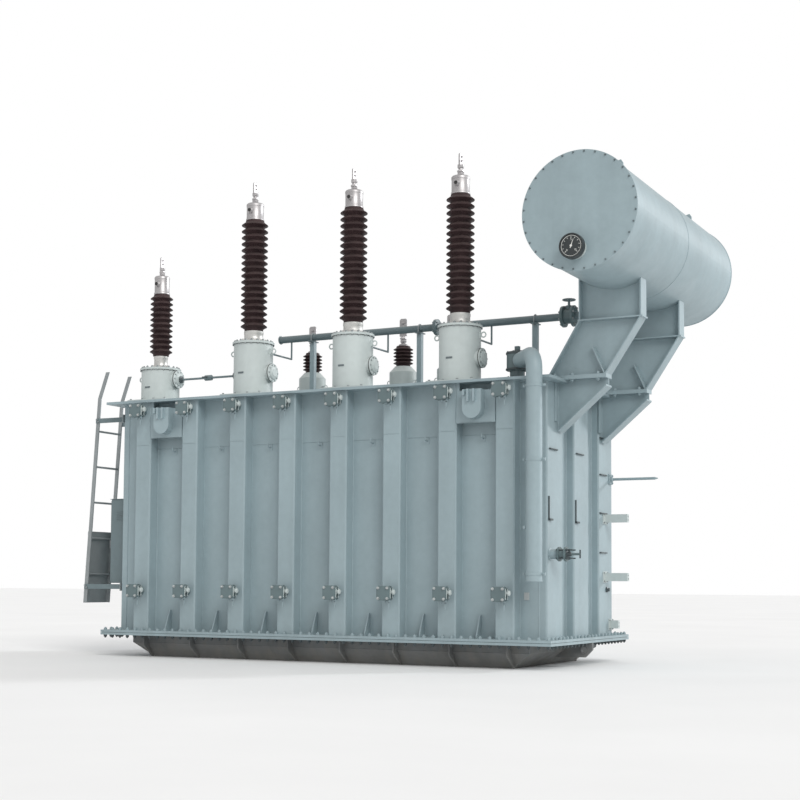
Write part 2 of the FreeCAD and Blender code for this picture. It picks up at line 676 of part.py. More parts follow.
def make_lifting_brackets():
    """A slotted plate, a block with a rounded foot and two small lugs in each outer bay."""
    bay_width = f"({RIB_PITCH} - Sizes.rib_width)"
    face = f"(-{RIB_Y})"
    block_top = "(-Sizes.lift_slot_height)"
    block_radius = "(Sizes.lift_block_width / 2)"
    block_centre = f"({block_top} - Sizes.lift_block_height + {block_radius})"
    reach = "Sizes.lift_block_reach"
    for side in ("front", "rear"):
        brackets = []
        for bay, sign in (("near", "-1"), ("far", "1")):
            name = f"{side}_{bay}_lift"
            x = f"{sign} * ({RIB_SPAN} - {RIB_PITCH}) / 2"
            plate_y = f"{face} + Sizes.lift_plate_thick / 2"
            height = "Sizes.lift_plate_height"
            sheet_size = (bay_width, "Sizes.lift_plate_thick", height)
            blank = box(f"{name}_blank", (x, plate_y), f"-{height}", sheet_size)
            slot_size = ("Sizes.lift_slot_width", "2 * Sizes.lift_plate_thick", "2 * Sizes.lift_slot_height")
            slot = box(f"{name}_slot", (x, plate_y), "-Sizes.lift_slot_height", slot_size)
            plate = cut(f"{name}_plate", blank, slot)
            upper = box(
                f"{name}_block",
                (x, f"{face} - {reach} / 2"),
                block_centre,
                ("Sizes.lift_block_width", reach, f"{block_top} - {block_centre}"),
            )
            lower = rod(f"{name}_block_foot", (x, face, block_centre), "-Y", block_radius, reach)
            lug_y = f"{face} - {reach} - Sizes.lift_lug_reach / 2"
            lug_z = f"{block_top} - Sizes.lift_lug_height"
            lug_size = ("Sizes.lift_lug_thick", "Sizes.lift_lug_reach", "Sizes.lift_lug_height")
            half_spread = "Sizes.lift_lug_spread / 2"
            left_lug = box(f"{name}_left_lug", (f"{x} - {half_spread}", lug_y), lug_z, lug_size)
            right_lug = box(f"{name}_right_lug", (f"{x} + {half_spread}", lug_y), lug_z, lug_size)
            brackets.append(fuse(name, [plate, upper, lower, left_lug, right_lug]))
        pair = together(f"{side}_lift_pair", brackets)
        place(pair, z=COVER_Z, rotation=facing(side))
        keep(pair, f"{side}_lifting_brackets")


def flange_outline(side, corner):
    """A square with cut corners, centred on the sketch's origin."""
    half = f"({side} / 2)"
    short = f"({half} - {corner})"
    return [
        (f"-{half}", f"-{short}"),
        (f"-{short}", f"-{half}"),
        (short, f"-{half}"),
        (half, f"-{short}"),
        (half, short),
        (short, half),
        (f"-{short}", half),
        (f"-{half}", short),
    ]


def make_radiator_valves():
    """Shut-off valves with blank plates, one on every rib near its top and its foot."""
    upper_z = f"({TOP_Z} - Sizes.valve_upper_drop)"
    lower_z = f"({TANK_Z} + Sizes.valve_lower_rise)"
    square = flange_outline("Sizes.valve_flange_side", "Sizes.valve_flange_corner")
    for side in ("front", "rear"):
        for level, height in (("upper", upper_z), ("lower", lower_z)):
            body = new_body(f"{side}_{level}_valve_row", z=height, rotation=facing(side))
            face = RIB_Y
            features = []
            for shape, length in (
                ("Sizes.valve_stub_radius", "Sizes.valve_stub_length"),
                (None, "Sizes.valve_flange_thick"),
                ("Sizes.valve_body_radius", "Sizes.valve_body_length"),
                (None, "Sizes.valve_flange_thick"),
                (None, "Sizes.blank_thick"),
            ):
                sketch = new_sketch(body, "XZ_Plane", face)
                sketch.setExpression("AttachmentOffset.Base.x", rib_x(0))
                if shape is None:
                    outline(sketch, square)
                else:
                    circle(sketch, "0", "0", shape)
                features.append(pad(body, sketch, length))
                face = f"({face} + {length})"
            repeat(body, features, "X_Axis", RIB_PITCH, "Sizes.rib_count")
            keep(body, f"{side}_{level}_valves")


# ---------------------------------------------------------------- bushings

BUSHINGS = [
    ("neutral", "neutral", "Sizes.neutral_turret_height", 0),
    ("phase_a", "hv", "Sizes.turret_height", 2),
    ("phase_b", "hv", "Sizes.turret_height", 4),
    ("phase_c", "hv", "Sizes.turret_height", 6),
]


def make_turrets():
    """Round turrets on square pads, each with a flange on top and a terminal box."""
    turrets = []
    for name, _, height, rib in BUSHINGS:
        barrel = new_body(f"{name}_barrel", rib_x(rib), TURRET_Y, TOP_Z)
        rim_height = "Sizes.turret_flange_thick"
        turn(
            barrel,
            stepped([("Sizes.turret_radius", height), ("Sizes.turret_flange_radius", rim_height)]),
        )
        side = "Sizes.turret_pad_side"
        foot = box(f"{name}_pad", (rib_x(rib), TURRET_Y), TOP_Z, (side, side, "Sizes.turret_pad_thick"))
        terminals = new_body(
            f"{name}_terminals",
            rib_x(rib),
            TURRET_Y,
            f"{TOP_Z} + Sizes.terminal_box_height",
            FreeCAD.Rotation(AXES["+Z"], AXES["+X"]),
        )
        turn(
            terminals,
            stepped(
                [
                    ("Sizes.terminal_box_radius", "Sizes.turret_radius + Sizes.terminal_box_reach"),
                    ("Sizes.terminal_lid_radius", "Sizes.terminal_lid_thick"),
                    ("Sizes.terminal_boss_radius", "Sizes.terminal_boss_reach"),
                ]
            ),
        )
        turrets.append(fuse(f"{name}_turret", [barrel, foot, terminals]))
    keep(together("turret_row", turrets), "turrets")


def shed_outline(core, shed):
    """One shed: thick at the core and thin at its drooping edge."""
    return [
        (f"{core} / 2", "0"),
        (core, "0"),
        (shed, "0"),
        (shed, "Sizes.shed_edge"),
        (core, "Sizes.shed_root"),
        (f"{core} / 2", "Sizes.shed_root"),
    ]


def porcelain(name, kind, x, y, z):
    """A porcelain insulator: a core with evenly spaced sheds and a bare neck."""
    size = f"Sizes.{kind}"
    body = new_body(name, x, y, z)
    height = f"({size}_shed_count * {size}_shed_pitch + {size}_neck_height)"
    turn(body, stepped([(f"{size}_core_radius", height)]))
    shed = turn(body, shed_outline(f"{size}_core_radius", f"{size}_shed_radius"))
    repeat(body, [shed], "Z_Axis", f"{size}_shed_pitch", f"{size}_shed_count")
    return body, height


def cap(name, kind, x, y, z):
    """A metal cap with a round tap, a stud and a flat palm on top of an insulator."""
    size = f"Sizes.{kind}"
    rim = f"{size}_cap_radius"
    barrel = f"({rim} - Sizes.cap_step)"
    stud = f"{size}_stud_radius"
    shoulder_z = f"({size}_cap_height - Sizes.cap_shoulder)"
    stud_top = f"({size}_cap_height + {size}_stud_height)"
    turned = new_body(f"{name}_turned_cap", x, y, z)
    turn(
        turned,
        [
            ("0", "0"),
            (rim, "0"),
            (rim, "Sizes.cap_foot_thick"),
            (barrel, "Sizes.cap_foot_thick"),
            (barrel, shoulder_z),
            (f"{stud} * 2", f"{size}_cap_height"),
            (stud, f"{size}_cap_height"),
            (stud, stud_top),
            ("0", stud_top),
        ],
    )
    palm = box(
        f"{name}_palm",
        (x, y),
        f"{z} + {stud_top}",
        (f"{size}_palm_width", "Sizes.palm_thick", f"{size}_palm_height"),
    )
    tap = rod(
        f"{name}_tap",
        (x, y, f"{z} + {size}_cap_height / 2"),
        "-Y",
        "Sizes.tap_radius",
        f"{barrel} + Sizes.tap_reach",
    )
    return fuse(name, [turned, palm, tap])


def make_bushings():
    """Collar, porcelain and cap of the neutral and the three high-voltage bushings."""
    collars = []
    insulators = []
    caps = []
    for name, kind, height, rib in BUSHINGS:
        size = f"Sizes.{kind}"
        x = rib_x(rib)
        collar_z = f"({TOP_Z} + {height} + Sizes.turret_flange_thick)"
        collar = new_body(f"{name}_collar", x, TURRET_Y, collar_z)
        sleeve = f"({size}_collar_height - {size}_foot_thick)"
        turn(
            collar,
            stepped([(f"{size}_foot_radius", f"{size}_foot_thick"), (f"{size}_collar_radius", sleeve)]),
        )
        collars.append(collar)
        porcelain_z = f"({collar_z} + {size}_collar_height)"
        insulator, tall = porcelain(f"{name}_insulator", kind, x, TURRET_Y, porcelain_z)
        insulators.append(insulator)
        caps.append(cap(f"{name}_cap", kind, x, TURRET_Y, f"({porcelain_z} + {tall})"))
    keep(together("collar_row", collars), "bushing_collars")
    keep(together("insulator_row", insulators), "bushing_insulators")
    keep(together("cap_row", caps), "bushing_caps")


def make_lv_bushings():
    """The low-voltage row: short turrets, small insulators and flat palms."""
    turrets = []
    insulators = []
    terminals = []
    for index in range(round(value("Sizes.lv_count"))):
        x = f"(Sizes.lv_offset + ({index} - (Sizes.lv_count - 1) / 2) * Sizes.lv_pitch)"
        turret = new_body(f"lv_turret_{index}", x, LV_Y, TOP_Z)
        cone_z = "(Sizes.lv_turret_height + Sizes.lv_cone_height)"
        turn(
            turret,
            [
                ("0", "0"),
                ("Sizes.lv_turret_radius", "0"),
                ("Sizes.lv_turret_radius", "Sizes.lv_turret_height"),
                ("Sizes.lv_core_radius + Sizes.shed_root", cone_z),
                ("0", cone_z),
            ],
        )
        turrets.append(turret)
        porcelain_z = f"({TOP_Z} + {cone_z})"
        insulator, tall = porcelain(f"lv_insulator_{index}", "lv", x, LV_Y, porcelain_z)
        insulators.append(insulator)
        stud_z = f"({porcelain_z} + {tall})"
        stud_height = "Sizes.lv_stud_height"
        stud = rod(f"lv_stud_{index}", (x, LV_Y, stud_z), "+Z", "Sizes.lv_stud_radius", stud_height)
        palm = box(
            f"lv_palm_{index}",
            (x, LV_Y),
            f"{stud_z} + {stud_height}",
            ("Sizes.lv_palm_width", "Sizes.palm_thick", "Sizes.lv_palm_height"),
        )
        terminals.append(fuse(f"lv_terminal_{index}", [stud, palm]))
    keep(together("lv_turret_row", turrets), "lv_turrets")
    keep(together("lv_insulator_row", insulators), "lv_insulators")
    keep(together("lv_terminal_row", terminals), "lv_terminals")


# ---------------------------------------------------------------- oil pipes on the cover

HEADER_Z = f"({TOP_Z} + Sizes.header_height)"
HEADER_LEFT_X = f"({rib_x(2)} - Sizes.header_overhang)"
HEADER_RIGHT_X = f"({WALL_X} + Sizes.header_end_reach)"
CONSERVATOR_X = f"({WALL_X} + Sizes.conservator_offset)"
CONSERVATOR_Z = f"({HEADER_Z} + Sizes.feed_rise + Sizes.conservator_radius)"


def make_header():
    """The oil header along the cover, its posts, its valve and the pipe on to the conservator."""
    valve_x = f"({HEADER_RIGHT_X} - Sizes.header_valve_length)"
    radius = "Sizes.header_radius"
    start = (HEADER_LEFT_X, "0", HEADER_Z)
    keep(rod("header_run", start, "+X", radius, f"{valve_x} - {HEADER_LEFT_X}"), "header_pipe")
    valve = new_body("header_valve_turned", valve_x, "0", HEADER_Z, FreeCAD.Rotation(AXES["+Z"], AXES["+X"]))
    rim = "Sizes.flange_thick"
    barrel = f"(Sizes.header_valve_length - 2 * {rim})"
    flange = ("Sizes.header_valve_radius", rim)
    turn(valve, stepped([flange, ("Sizes.header_valve_body", barrel), flange]))
    keep(valve, "header_valve")
    start = (HEADER_RIGHT_X, "0", HEADER_Z)
    feed = rod("feed_run", start, "+X", radius, f"{CONSERVATOR_X} - {HEADER_RIGHT_X}")
    bend = (CONSERVATOR_X, "0", HEADER_Z)
    corner = ball("feed_corner", bend, radius)
    rise = rod("feed_riser", bend, "+Z", radius, "Sizes.feed_rise")
    keep(fuse("feed_pipe_run", [feed, corner, rise]), "conservator_feed_pipe")
    first = f"({HEADER_LEFT_X} + Sizes.header_post_inset)"
    last = f"({HEADER_RIGHT_X} - Sizes.header_post_inset)"
    posts = []
    for name, x in (("first", first), ("middle", f"(({first} + {last}) / 2)"), ("last", last)):
        foot_side = "Sizes.header_foot_side"
        foot = box(f"{name}_post_foot", (x, "0"), TOP_Z, (foot_side, foot_side, "Sizes.header_foot_thick"))
        side = "Sizes.header_post_side"
        height = "Sizes.header_height - Sizes.header_radius"
        post = box(f"{name}_post", (x, "0"), TOP_Z, (side, side, height))
        posts.append(fuse(f"{name}_post_weldment", [foot, post]))
    keep(together("post_row", posts), "header_posts")


def make_vent_pipes():
    """A thin pipe from the back of each high-voltage turret to under the header, and up to it."""
    vents = []
    radius = "Sizes.vent_radius"
    start_z = f"({TOP_Z} + Sizes.turret_height - Sizes.vent_drop)"
    start_y = f"({TURRET_Y} + Sizes.turret_radius)"
    for name, kind, _, rib in BUSHINGS:
        if kind != "hv":
            continue
        back = rod(f"{name}_vent_back", (rib_x(rib), start_y, start_z), "+Y", radius, f"-{start_y}")
        bend = ball(f"{name}_vent_bend", (rib_x(rib), "0", start_z), radius)
        rise = f"{HEADER_Z} - Sizes.header_radius - {start_z}"
        up = rod(f"{name}_vent_up", (rib_x(rib), "0", start_z), "+Z", radius, rise)
        vents.append(fuse(f"{name}_vent", [back, bend, up]))
    keep(together("vent_row", vents), "vent_pipes")


def make_link_pipe():
    """A thin pipe with a small valve, from the neutral turret to the next one."""
    z = f"({TOP_Z} + Sizes.link_height)"
    terminal_reach = "(Sizes.terminal_box_reach + Sizes.terminal_lid_thick + Sizes.terminal_boss_reach)"
    start = f"({rib_x(0)} + Sizes.turret_radius + {terminal_reach})"
    end = f"({rib_x(2)} - Sizes.turret_radius)"
    valve_x = f"(({start} + {end} - Sizes.link_valve_length) / 2)"
    pipe = rod("link_run", (start, TURRET_Y, z), "+X", "Sizes.link_radius", f"{end} - {start}")
    valve = rod(
        "link_valve", (valve_x, TURRET_Y, z), "+X", "Sizes.link_valve_radius", "Sizes.link_valve_length"
    )
    keep(fuse("link_pipe_run", [pipe, valve]), "turret_link_pipe")


# ---------------------------------------------------------------- pressure relief


def make_relief_device():
    """A flanged housing on the cover's corner."""
    body = new_body("relief_turned", RELIEF_X, RELIEF_Y, TOP_Z)
    turn(
        body,
        stepped(
            [
                ("Sizes.relief_flange_radius", "Sizes.relief_flange_thick"),
                ("Sizes.relief_neck_radius", "Sizes.relief_neck_height"),
                ("Sizes.relief_body_radius", "Sizes.relief_body_height"),
                ("Sizes.relief_knob_radius", "Sizes.relief_knob_height"),
            ]
        ),
    )
    keep(body, "relief_device")


def make_discharge_pipe():
    """A pipe from the relief device, out over the cover's corner and down the tank.

    It is laid out in the upright plane through both, with the relief device at x = 0.
    """
    drop_y = f"(-{COVER_Y} - Sizes.discharge_clear - Sizes.discharge_radius)"
    span_y = f"({drop_y} - {RELIEF_Y})"
    reach = f"sqrt(Sizes.discharge_offset ^ 2 + {span_y} ^ 2)"
    radius = "Sizes.discharge_radius"
    bend = "Sizes.discharge_bend"
    level = "(Sizes.relief_flange_thick + Sizes.relief_neck_height + Sizes.relief_body_height / 2)"
    start = "Sizes.relief_body_radius"
    spigot = rod("discharge_spigot", (start, "0", level), "+X", radius, f"{reach} - {bend} - {start}")
    elbow = doc.addObject("Part::Torus", "discharge_elbow")
    elbow.setExpression("Radius1", bend)
    elbow.setExpression("Radius2", radius)
    elbow.Angle3 = 90
    place(elbow, f"{reach} - {bend}", "0", f"{level} - {bend}", FreeCAD.Rotation(AXES["+X"], 90))
    fall = rod(
        "discharge_fall",
        (reach, "0", f"{level} - {bend}"),
        "-Z",
        radius,
        f"{TOP_Z} + {level} - {bend} - Sizes.discharge_foot",
    )
    pipe = fuse("discharge_run", [spigot, elbow, fall])
    heading = f"atan2({span_y}; Sizes.discharge_offset)"
    place(pipe, RELIEF_X, RELIEF_Y, TOP_Z, FreeCAD.Rotation(AXES["+Z"], value(heading)))
    pipe.setExpression("Placement.Rotation.Angle", heading)
    keep(pipe, "discharge_pipe")


# ---------------------------------------------------------------- conservator


def make_conservator():
    """A horizontal cylinder across the tank's end: shell, bolted cover and dished head."""
    half = "(Sizes.conservator_length / 2)"
    radius = "Sizes.conservator_radius"
    inside = f"({radius} - Sizes.conservator_wall)"
    front = f"(-{half})"
    rim = f"({radius} + Sizes.end_rim)"
    start = (CONSERVATOR_X, front, CONSERVATOR_Z)
    outer = rod("shell_outer", start, "+Y", radius, "Sizes.conservator_length")
    ring = rod("shell_ring", start, "+Y", rim, "Sizes.end_flange_thick")
    inner = rod("shell_inner", start, "+Y", inside, "Sizes.conservator_length")
    keep(cut("shell_tube", fuse("shell_solid", [outer, ring]), inner), "conservator_shell")
    keep(rod("end_cover_plate", start, "-Y", rim, "Sizes.end_cover_thick"), "conservator_front_cover")

    crown = f"((({radius} ^ 2) + Sizes.head_depth ^ 2) / (2 * Sizes.head_depth))"
    centre = (CONSERVATOR_X, f"{half} + Sizes.head_depth - {crown}", CONSERVATOR_Z)
    blank = rod("head_blank", (CONSERVATOR_X, half, CONSERVATOR_Z), "+Y", radius, "Sizes.head_depth")
    dome = doc.addObject("Part::Common", "head_dome")
    dome.Base = blank
    dome.Tool = ball("head_outside", centre, crown)
    head = cut("head_plate", dome, ball("head_inside", centre, f"{crown} - Sizes.conservator_wall"))
    keep(head, "conservator_rear_head")


def make_gauge():
    """The round oil-level gauge on the bolted end cover."""
    face_y = "(-Sizes.conservator_length / 2 - Sizes.end_cover_thick)"
    body = new_body(
        "gauge_turned",
        f"{CONSERVATOR_X} - Sizes.gauge_shift",
        face_y,
        f"{CONSERVATOR_Z} - Sizes.conservator_radius + Sizes.gauge_edge_gap + Sizes.gauge_radius",
        FreeCAD.Rotation(AXES["+Z"], AXES["-Y"]),
    )
    neck = ("Sizes.gauge_neck_radius", "Sizes.gauge_neck_length")
    turn(body, stepped([neck, ("Sizes.gauge_radius", "Sizes.gauge_length")]))
    keep(body, "oil_level_gauge")


def make_supports():
    """Two cranked supports that carry the conservator out beyond the end wall."""
    foot_z = "(2 * Sizes.support_foot_thick)"
    knee_z = f"({foot_z} + Sizes.support_knee)"
    axis_z = f"({CONSERVATOR_Z} - {TOP_Z})"
    head_z = f"({axis_z} - Sizes.conservator_radius + Sizes.support_wrap)"
    foot_left = WALL_X
    foot_right = f"({WALL_X} + Sizes.support_foot_width)"
    head_x = f"({CONSERVATOR_X} - Sizes.support_head_shift)"
    knee_left = f"({head_x} - Sizes.support_head_width / 2)"
    knee_right = f"({head_x} + Sizes.support_head_width / 2)"
    flange = "Sizes.support_flange"
    supports = []
    for name, sign in (("front", "-1"), ("rear", "1")):
        body = new_body(f"{name}_support", "0", f"{sign} * {SUPPORT_Y}", TOP_Z)
        web = new_sketch(body, "XZ_Plane")
        outline(
            web,
            [
                (foot_left, foot_z),
                (foot_right, foot_z),
                (knee_right, knee_z),
                (knee_right, head_z),
                (knee_left, head_z),
                (knee_left, knee_z),
            ],
        )
        pad(body, web, "Sizes.web_thick", midplane=True)
        for foot, knee, inward in ((foot_left, knee_left, "1"), (foot_right, knee_right, "-1")):
            edge = new_sketch(body, "XZ_Plane")
            slope = f"(({knee} - {foot}) / Sizes.support_knee)"
            slant = f"({inward} * {flange} * sqrt(1 + {slope} ^ 2))"
            outline(
                edge,
                [
                    (foot, foot_z),
                    (f"{foot} + {slant}", foot_z),
                    (f"{knee} + {inward} * {flange}", knee_z),
                    (f"{knee} + {inward} * {flange}", head_z),
                    (knee, head_z),
                    (knee, knee_z),
                ],
            )
            pad(body, edge, "Sizes.support_width", midplane=True)
        foot_plate = new_sketch(body, "XZ_Plane")
        outline(
            foot_plate,
            [
                (foot_left, "Sizes.support_foot_thick"),
                (foot_right, "Sizes.support_foot_thick"),
                (foot_right, foot_z),
                (foot_left, foot_z),
            ],
        )
        pad(body, foot_plate, "Sizes.support_width", midplane=True)
        knee_plate = new_sketch(body, "XZ_Plane")
        knee_half = "(Sizes.web_thick / 2)"
        outline(
            knee_plate,
            [
                (f"{knee_left} - Sizes.knee_plate_reach", f"{knee_z} - {knee_half}"),
                (f"{knee_right} + Sizes.knee_plate_reach", f"{knee_z} - {knee_half}"),
                (f"{knee_right} + Sizes.knee_plate_reach", f"{knee_z} + {knee_half}"),
                (f"{knee_left} - Sizes.knee_plate_reach", f"{knee_z} + {knee_half}"),
            ],
        )
        pad(body, knee_plate, "Sizes.support_width", midplane=True)
        saddle = new_sketch(body, "XZ_Plane")
        seat = "(Sizes.conservator_radius + Sizes.seat_gap)"
        circle(saddle, CONSERVATOR_X, axis_z, seat)
        pocket(body, saddle)
        supports.append(body)
    keep(together("support_pair", supports), "conservator_supports")


def make_support_brackets():
    """Gusset brackets on the end wall, each under a support's foot."""
    brackets = []
    nose_x = f"({WALL_X} + Sizes.support_foot_width)"
    plate = "Sizes.support_foot_thick"
    for name, sign in (("front", "-1"), ("rear", "1")):
        body = new_body(f"{name}_bracket", "0", f"{sign} * {SUPPORT_Y}", TOP_Z)
        web = new_sketch(body, "XZ_Plane")
        outline(
            web,
            [
                (END_RIB_X, "-Sizes.bracket_drop"),
                (f"{END_RIB_X} + Sizes.gusset_tip", "-Sizes.bracket_drop"),
                (nose_x, "-Sizes.bracket_nose"),
                (nose_x, "0"),
                (COVER_X, "0"),
                (COVER_X, "-Sizes.cover_thick"),
                (END_RIB_X, "-Sizes.cover_thick"),
            ],
        )
        pad(body, web, "Sizes.web_thick", midplane=True)
        top = new_sketch(body, "XZ_Plane")
        outline(top, [(COVER_X, "0"), (nose_x, "0"), (nose_x, plate), (COVER_X, plate)])
        pad(body, top, "Sizes.support_width", midplane=True)
        on_cover = new_sketch(body, "XZ_Plane")
        outline(on_cover, [(WALL_X, "0"), (COVER_X, "0"), (COVER_X, plate), (WALL_X, plate)])
        pad(body, on_cover, "Sizes.support_width", midplane=True)
        under = new_sketch(body, "XZ_Plane")
        lip = "Sizes.support_flange"
        outline(
            under,
            [
                (f"{END_RIB_X} + Sizes.gusset_tip", "-Sizes.bracket_drop"),
                (nose_x, "-Sizes.bracket_nose"),
                (nose_x, f"-Sizes.bracket_nose + {lip}"),
                (f"{END_RIB_X} + Sizes.gusset_tip", f"-Sizes.bracket_drop + {lip}"),
            ],
        )
        pad(body, under, "Sizes.support_width", midplane=True)
        brackets.append(body)
    keep(together("bracket_pair", brackets), "support_brackets")


# ---------------------------------------------------------------- end wall fittings


def make_drain_valve():
    """The flanged drain valve on the front end rib."""
    turned = new_body(
        "drain_turned",
        END_RIB_X,
        f"(-{WALL_Y} + Sizes.drain_corner_gap)",
        "Sizes.drain_height",
        FreeCAD.Rotation(AXES["+Z"], AXES["+X"]),
    )
    rim = ("Sizes.drain_flange_radius", "Sizes.drain_flange_thick")
    barrel = "(Sizes.drain_valve_length - 2 * Sizes.drain_flange_thick)"
    turn(
        turned,
        stepped(
            [
                ("Sizes.drain_stub_radius", "Sizes.drain_stub_length"),
                rim,
                ("Sizes.drain_body_radius", barrel),
                rim,
                ("Sizes.drain_handle_radius", "Sizes.drain_handle_reach"),
            ]
        ),
    )
    keep(turned, "drain_valve")


def make_cable_brackets():
    """Three arms that stand out from the rear end rib, each on a pad plate."""
    rib_y = f"({END_RIB_Y} - Sizes.arm_shift)"
    corner_y = f"({WALL_Y} - Sizes.low_arm_gap)"
    brackets = []
    for name, y, reach in (
        ("low", corner_y, "Sizes.low_arm_reach"),
        ("middle", rib_y, "Sizes.arm_reach"),
        ("high", rib_y, "Sizes.arm_reach"),
    ):
        z = f"Sizes.arm_{name}"
        side = "Sizes.arm_pad_side"
        thick = "Sizes.arm_pad_thick"
        foot_z = f"{z} + (Sizes.arm_height - {side}) / 2"
        foot = box(f"{name}_arm_pad", (f"({END_RIB_X} + {thick} / 2)", y), foot_z, (thick, side, side))
        arm_size = (reach, "Sizes.arm_width", "Sizes.arm_height")
        arm = box(f"{name}_arm", (f"({END_RIB_X} + {reach} / 2)", y), z, arm_size)
        brackets.append(fuse(f"{name}_cable_bracket", [foot, arm]))
    keep(together("cable_bracket_set", brackets), "cable_brackets")


def make_side_rod():
    """A slim pointed rod on a pad, high on the rear end rib."""
    y = f"({WALL_Y} - Sizes.rod_side_gap)"
    start = (END_RIB_X, y, "Sizes.rod_height")
    shaft = rod("side_rod_shaft", start, "+X", "Sizes.rod_radius", "Sizes.rod_length")
    tip = doc.addObject("Part::Cone", "side_rod_tip")
    tip.setExpression("Radius1", "Sizes.rod_radius")
    tip.setExpression("Radius2", "Sizes.rod_radius / 4")
    tip.setExpression("Height", "Sizes.rod_tip")
    turned = FreeCAD.Rotation(AXES["+Z"], AXES["+X"])
    place(tip, f"{END_RIB_X} + Sizes.rod_length", y, "Sizes.rod_height", turned)
    side = "Sizes.rod_pad_side"
    foot = box(
        "side_rod_pad",
        (f"({END_RIB_X} + Sizes.rod_pad_thick / 2)", y),
        f"Sizes.rod_height - {side} / 2",
        ("Sizes.rod_pad_thick", side, side),
    )
    keep(fuse("side_rod_weldment", [shaft, tip, foot]), "side_rod")


# ---------------------------------------------------------------- ladder and cabinet

LADDER_TOP_Z = f"({TOP_Z} + Sizes.ladder_top_rise)"
LADDER_Y = f"(-{WALL_Y} + Sizes.ladder_corner_gap + Sizes.ladder_width / 2)"
LADDER_LEAN = "(Sizes.ladder_foot_reach - Sizes.ladder_top_reach)"
LADDER_SLOPE = f"({LADDER_LEAN} / ({LADDER_TOP_Z} - Sizes.ladder_foot))"
LOW_STAY_Z = "(Sizes.ladder_foot + Sizes.stay_low)"


def ladder_x(height):
    """The rails' outer edge at a height above the floor, along X."""
    return f"(-{WALL_X} - Sizes.ladder_foot_reach + {LADDER_SLOPE} * ({height} - Sizes.ladder_foot))"


def make_ladder():
    """A leaning ladder: two flat rails whose tips bend in, and round rungs."""
    rails = []
    top = ladder_x(LADDER_TOP_Z)
    wide = "Sizes.ladder_rail_width"
    half_width = "(Sizes.ladder_width / 2)"
    for name, sign in (("front", "-1"), ("rear", "1")):
        y = f"{LADDER_Y} + {sign} * ({half_width} - Sizes.ladder_rail_thick / 2)"
        body = new_body(f"{name}_rail", "0", y)
        sketch = new_sketch(body, "XZ_Plane")
        tip_z = f"({LADDER_TOP_Z} + Sizes.ladder_horn_rise)"
        outline(
            sketch,
            [
                (ladder_x("Sizes.ladder_foot"), "Sizes.ladder_foot"),
                (f"{ladder_x('Sizes.ladder_foot')} + {wide}", "Sizes.ladder_foot"),
                (f"{top} + {wide}", LADDER_TOP_Z),
                (f"{top} + {wide} + Sizes.ladder_horn_lean", tip_z),
                (f"{top} + Sizes.ladder_horn_lean", tip_z),
                (top, LADDER_TOP_Z),
            ],
        )
        pad(body, sketch, "Sizes.ladder_rail_thick", midplane=True)
        rails.append(body)
    rungs = []
    straight = value(f"{LADDER_TOP_Z} - Sizes.ladder_foot - Sizes.rung_first")
    for index in range(int(straight / value("Sizes.rung_pitch")) + 1):
        z = f"(Sizes.ladder_foot + Sizes.rung_first + {index} * Sizes.rung_pitch)"
        start = (f"{ladder_x(z)} + {wide} / 2", f"{LADDER_Y} - {half_width}", z)
        rungs.append(rod(f"rung_{index}", start, "+Y", "Sizes.rung_radius", "Sizes.ladder_width"))
    keep(fuse("ladder_weldment", rails + rungs), "ladder")


def make_ladder_stays():
    """Flat bars to the ladder's rails, from the front end rib and from the wall beside it."""
    stays = []
    high_z = f"({TOP_Z} - Sizes.stay_drop)"
    for level, z in (("low", LOW_STAY_Z), ("high", high_z)):
        middle = f"({z} + Sizes.stay_height / 2)"
        start = ladder_x(middle)
        for name, sign, face in (("front", "-1", END_RIB_X), ("rear", "1", WALL_X)):
            y = f"({LADDER_Y} + {sign} * (Sizes.ladder_width / 2 + Sizes.stay_thick / 2))"
            length = f"-{face} - {start}"
            stay_size = (length, "Sizes.stay_thick", "Sizes.stay_height")
            stays.append(box(f"{name}_{level}_stay", (f"(({start} - {face}) / 2)", y), z, stay_size))
    keep(together("stay_set", stays), "ladder_stays")


def make_ladder_guard():
    """The locked sheet that closes the ladder's lower rungs."""
    body = new_body("guard_sheet", "0", LADDER_Y)
    sketch = new_sketch(body, "XZ_Plane")
    low = "Sizes.ladder_foot"
    high = "(Sizes.ladder_foot + Sizes.guard_height)"
    thick = "Sizes.guard_thick"
    outline(
        sketch,
        [
            (f"{ladder_x(low)} - {thick}", low),
            (ladder_x(low), low),
            (ladder_x(high), high),
            (f"{ladder_x(high)} - {thick}", high),
        ],
    )
    pad(body, sketch, "Sizes.ladder_width", midplane=True)
    keep(body, "ladder_guard")


def make_cabinet():
    """The control cabinet on the front end rib, behind the ladder and above its lower stays."""
    y = f"(-{WALL_Y} + Sizes.cabinet_corner_gap + Sizes.cabinet_width / 2)"
    cabinet = box(
        "cabinet_housing",
        (f"(-{END_RIB_X} - Sizes.cabinet_depth / 2)", y),
        f"{LOW_STAY_Z} + Sizes.stay_height + Sizes.cabinet_stay_gap",
        ("Sizes.cabinet_depth", "Sizes.cabinet_width", "Sizes.cabinet_height"),
    )
    keep(cabinet, "control_cabinet")


# ---------------------------------------------------------------- assembly

make_base()
make_base_stiffeners()
make_hauling_lugs()
make_flanges()
make_flange_gussets()
make_tank()
make_ribs()
make_lifting_brackets()
make_radiator_valves()
make_turrets()
make_bushings()
make_lv_bushings()
make_header()
make_vent_pipes()
make_link_pipe()
make_relief_device()
make_discharge_pipe()
make_conservator()
make_gauge()
make_supports()
make_support_brackets()
make_drain_valve()
make_cable_brackets()
make_side_rod()
make_ladder()
make_ladder_stays()
make_ladder_guard()
make_cabinet()

doc.recompute()

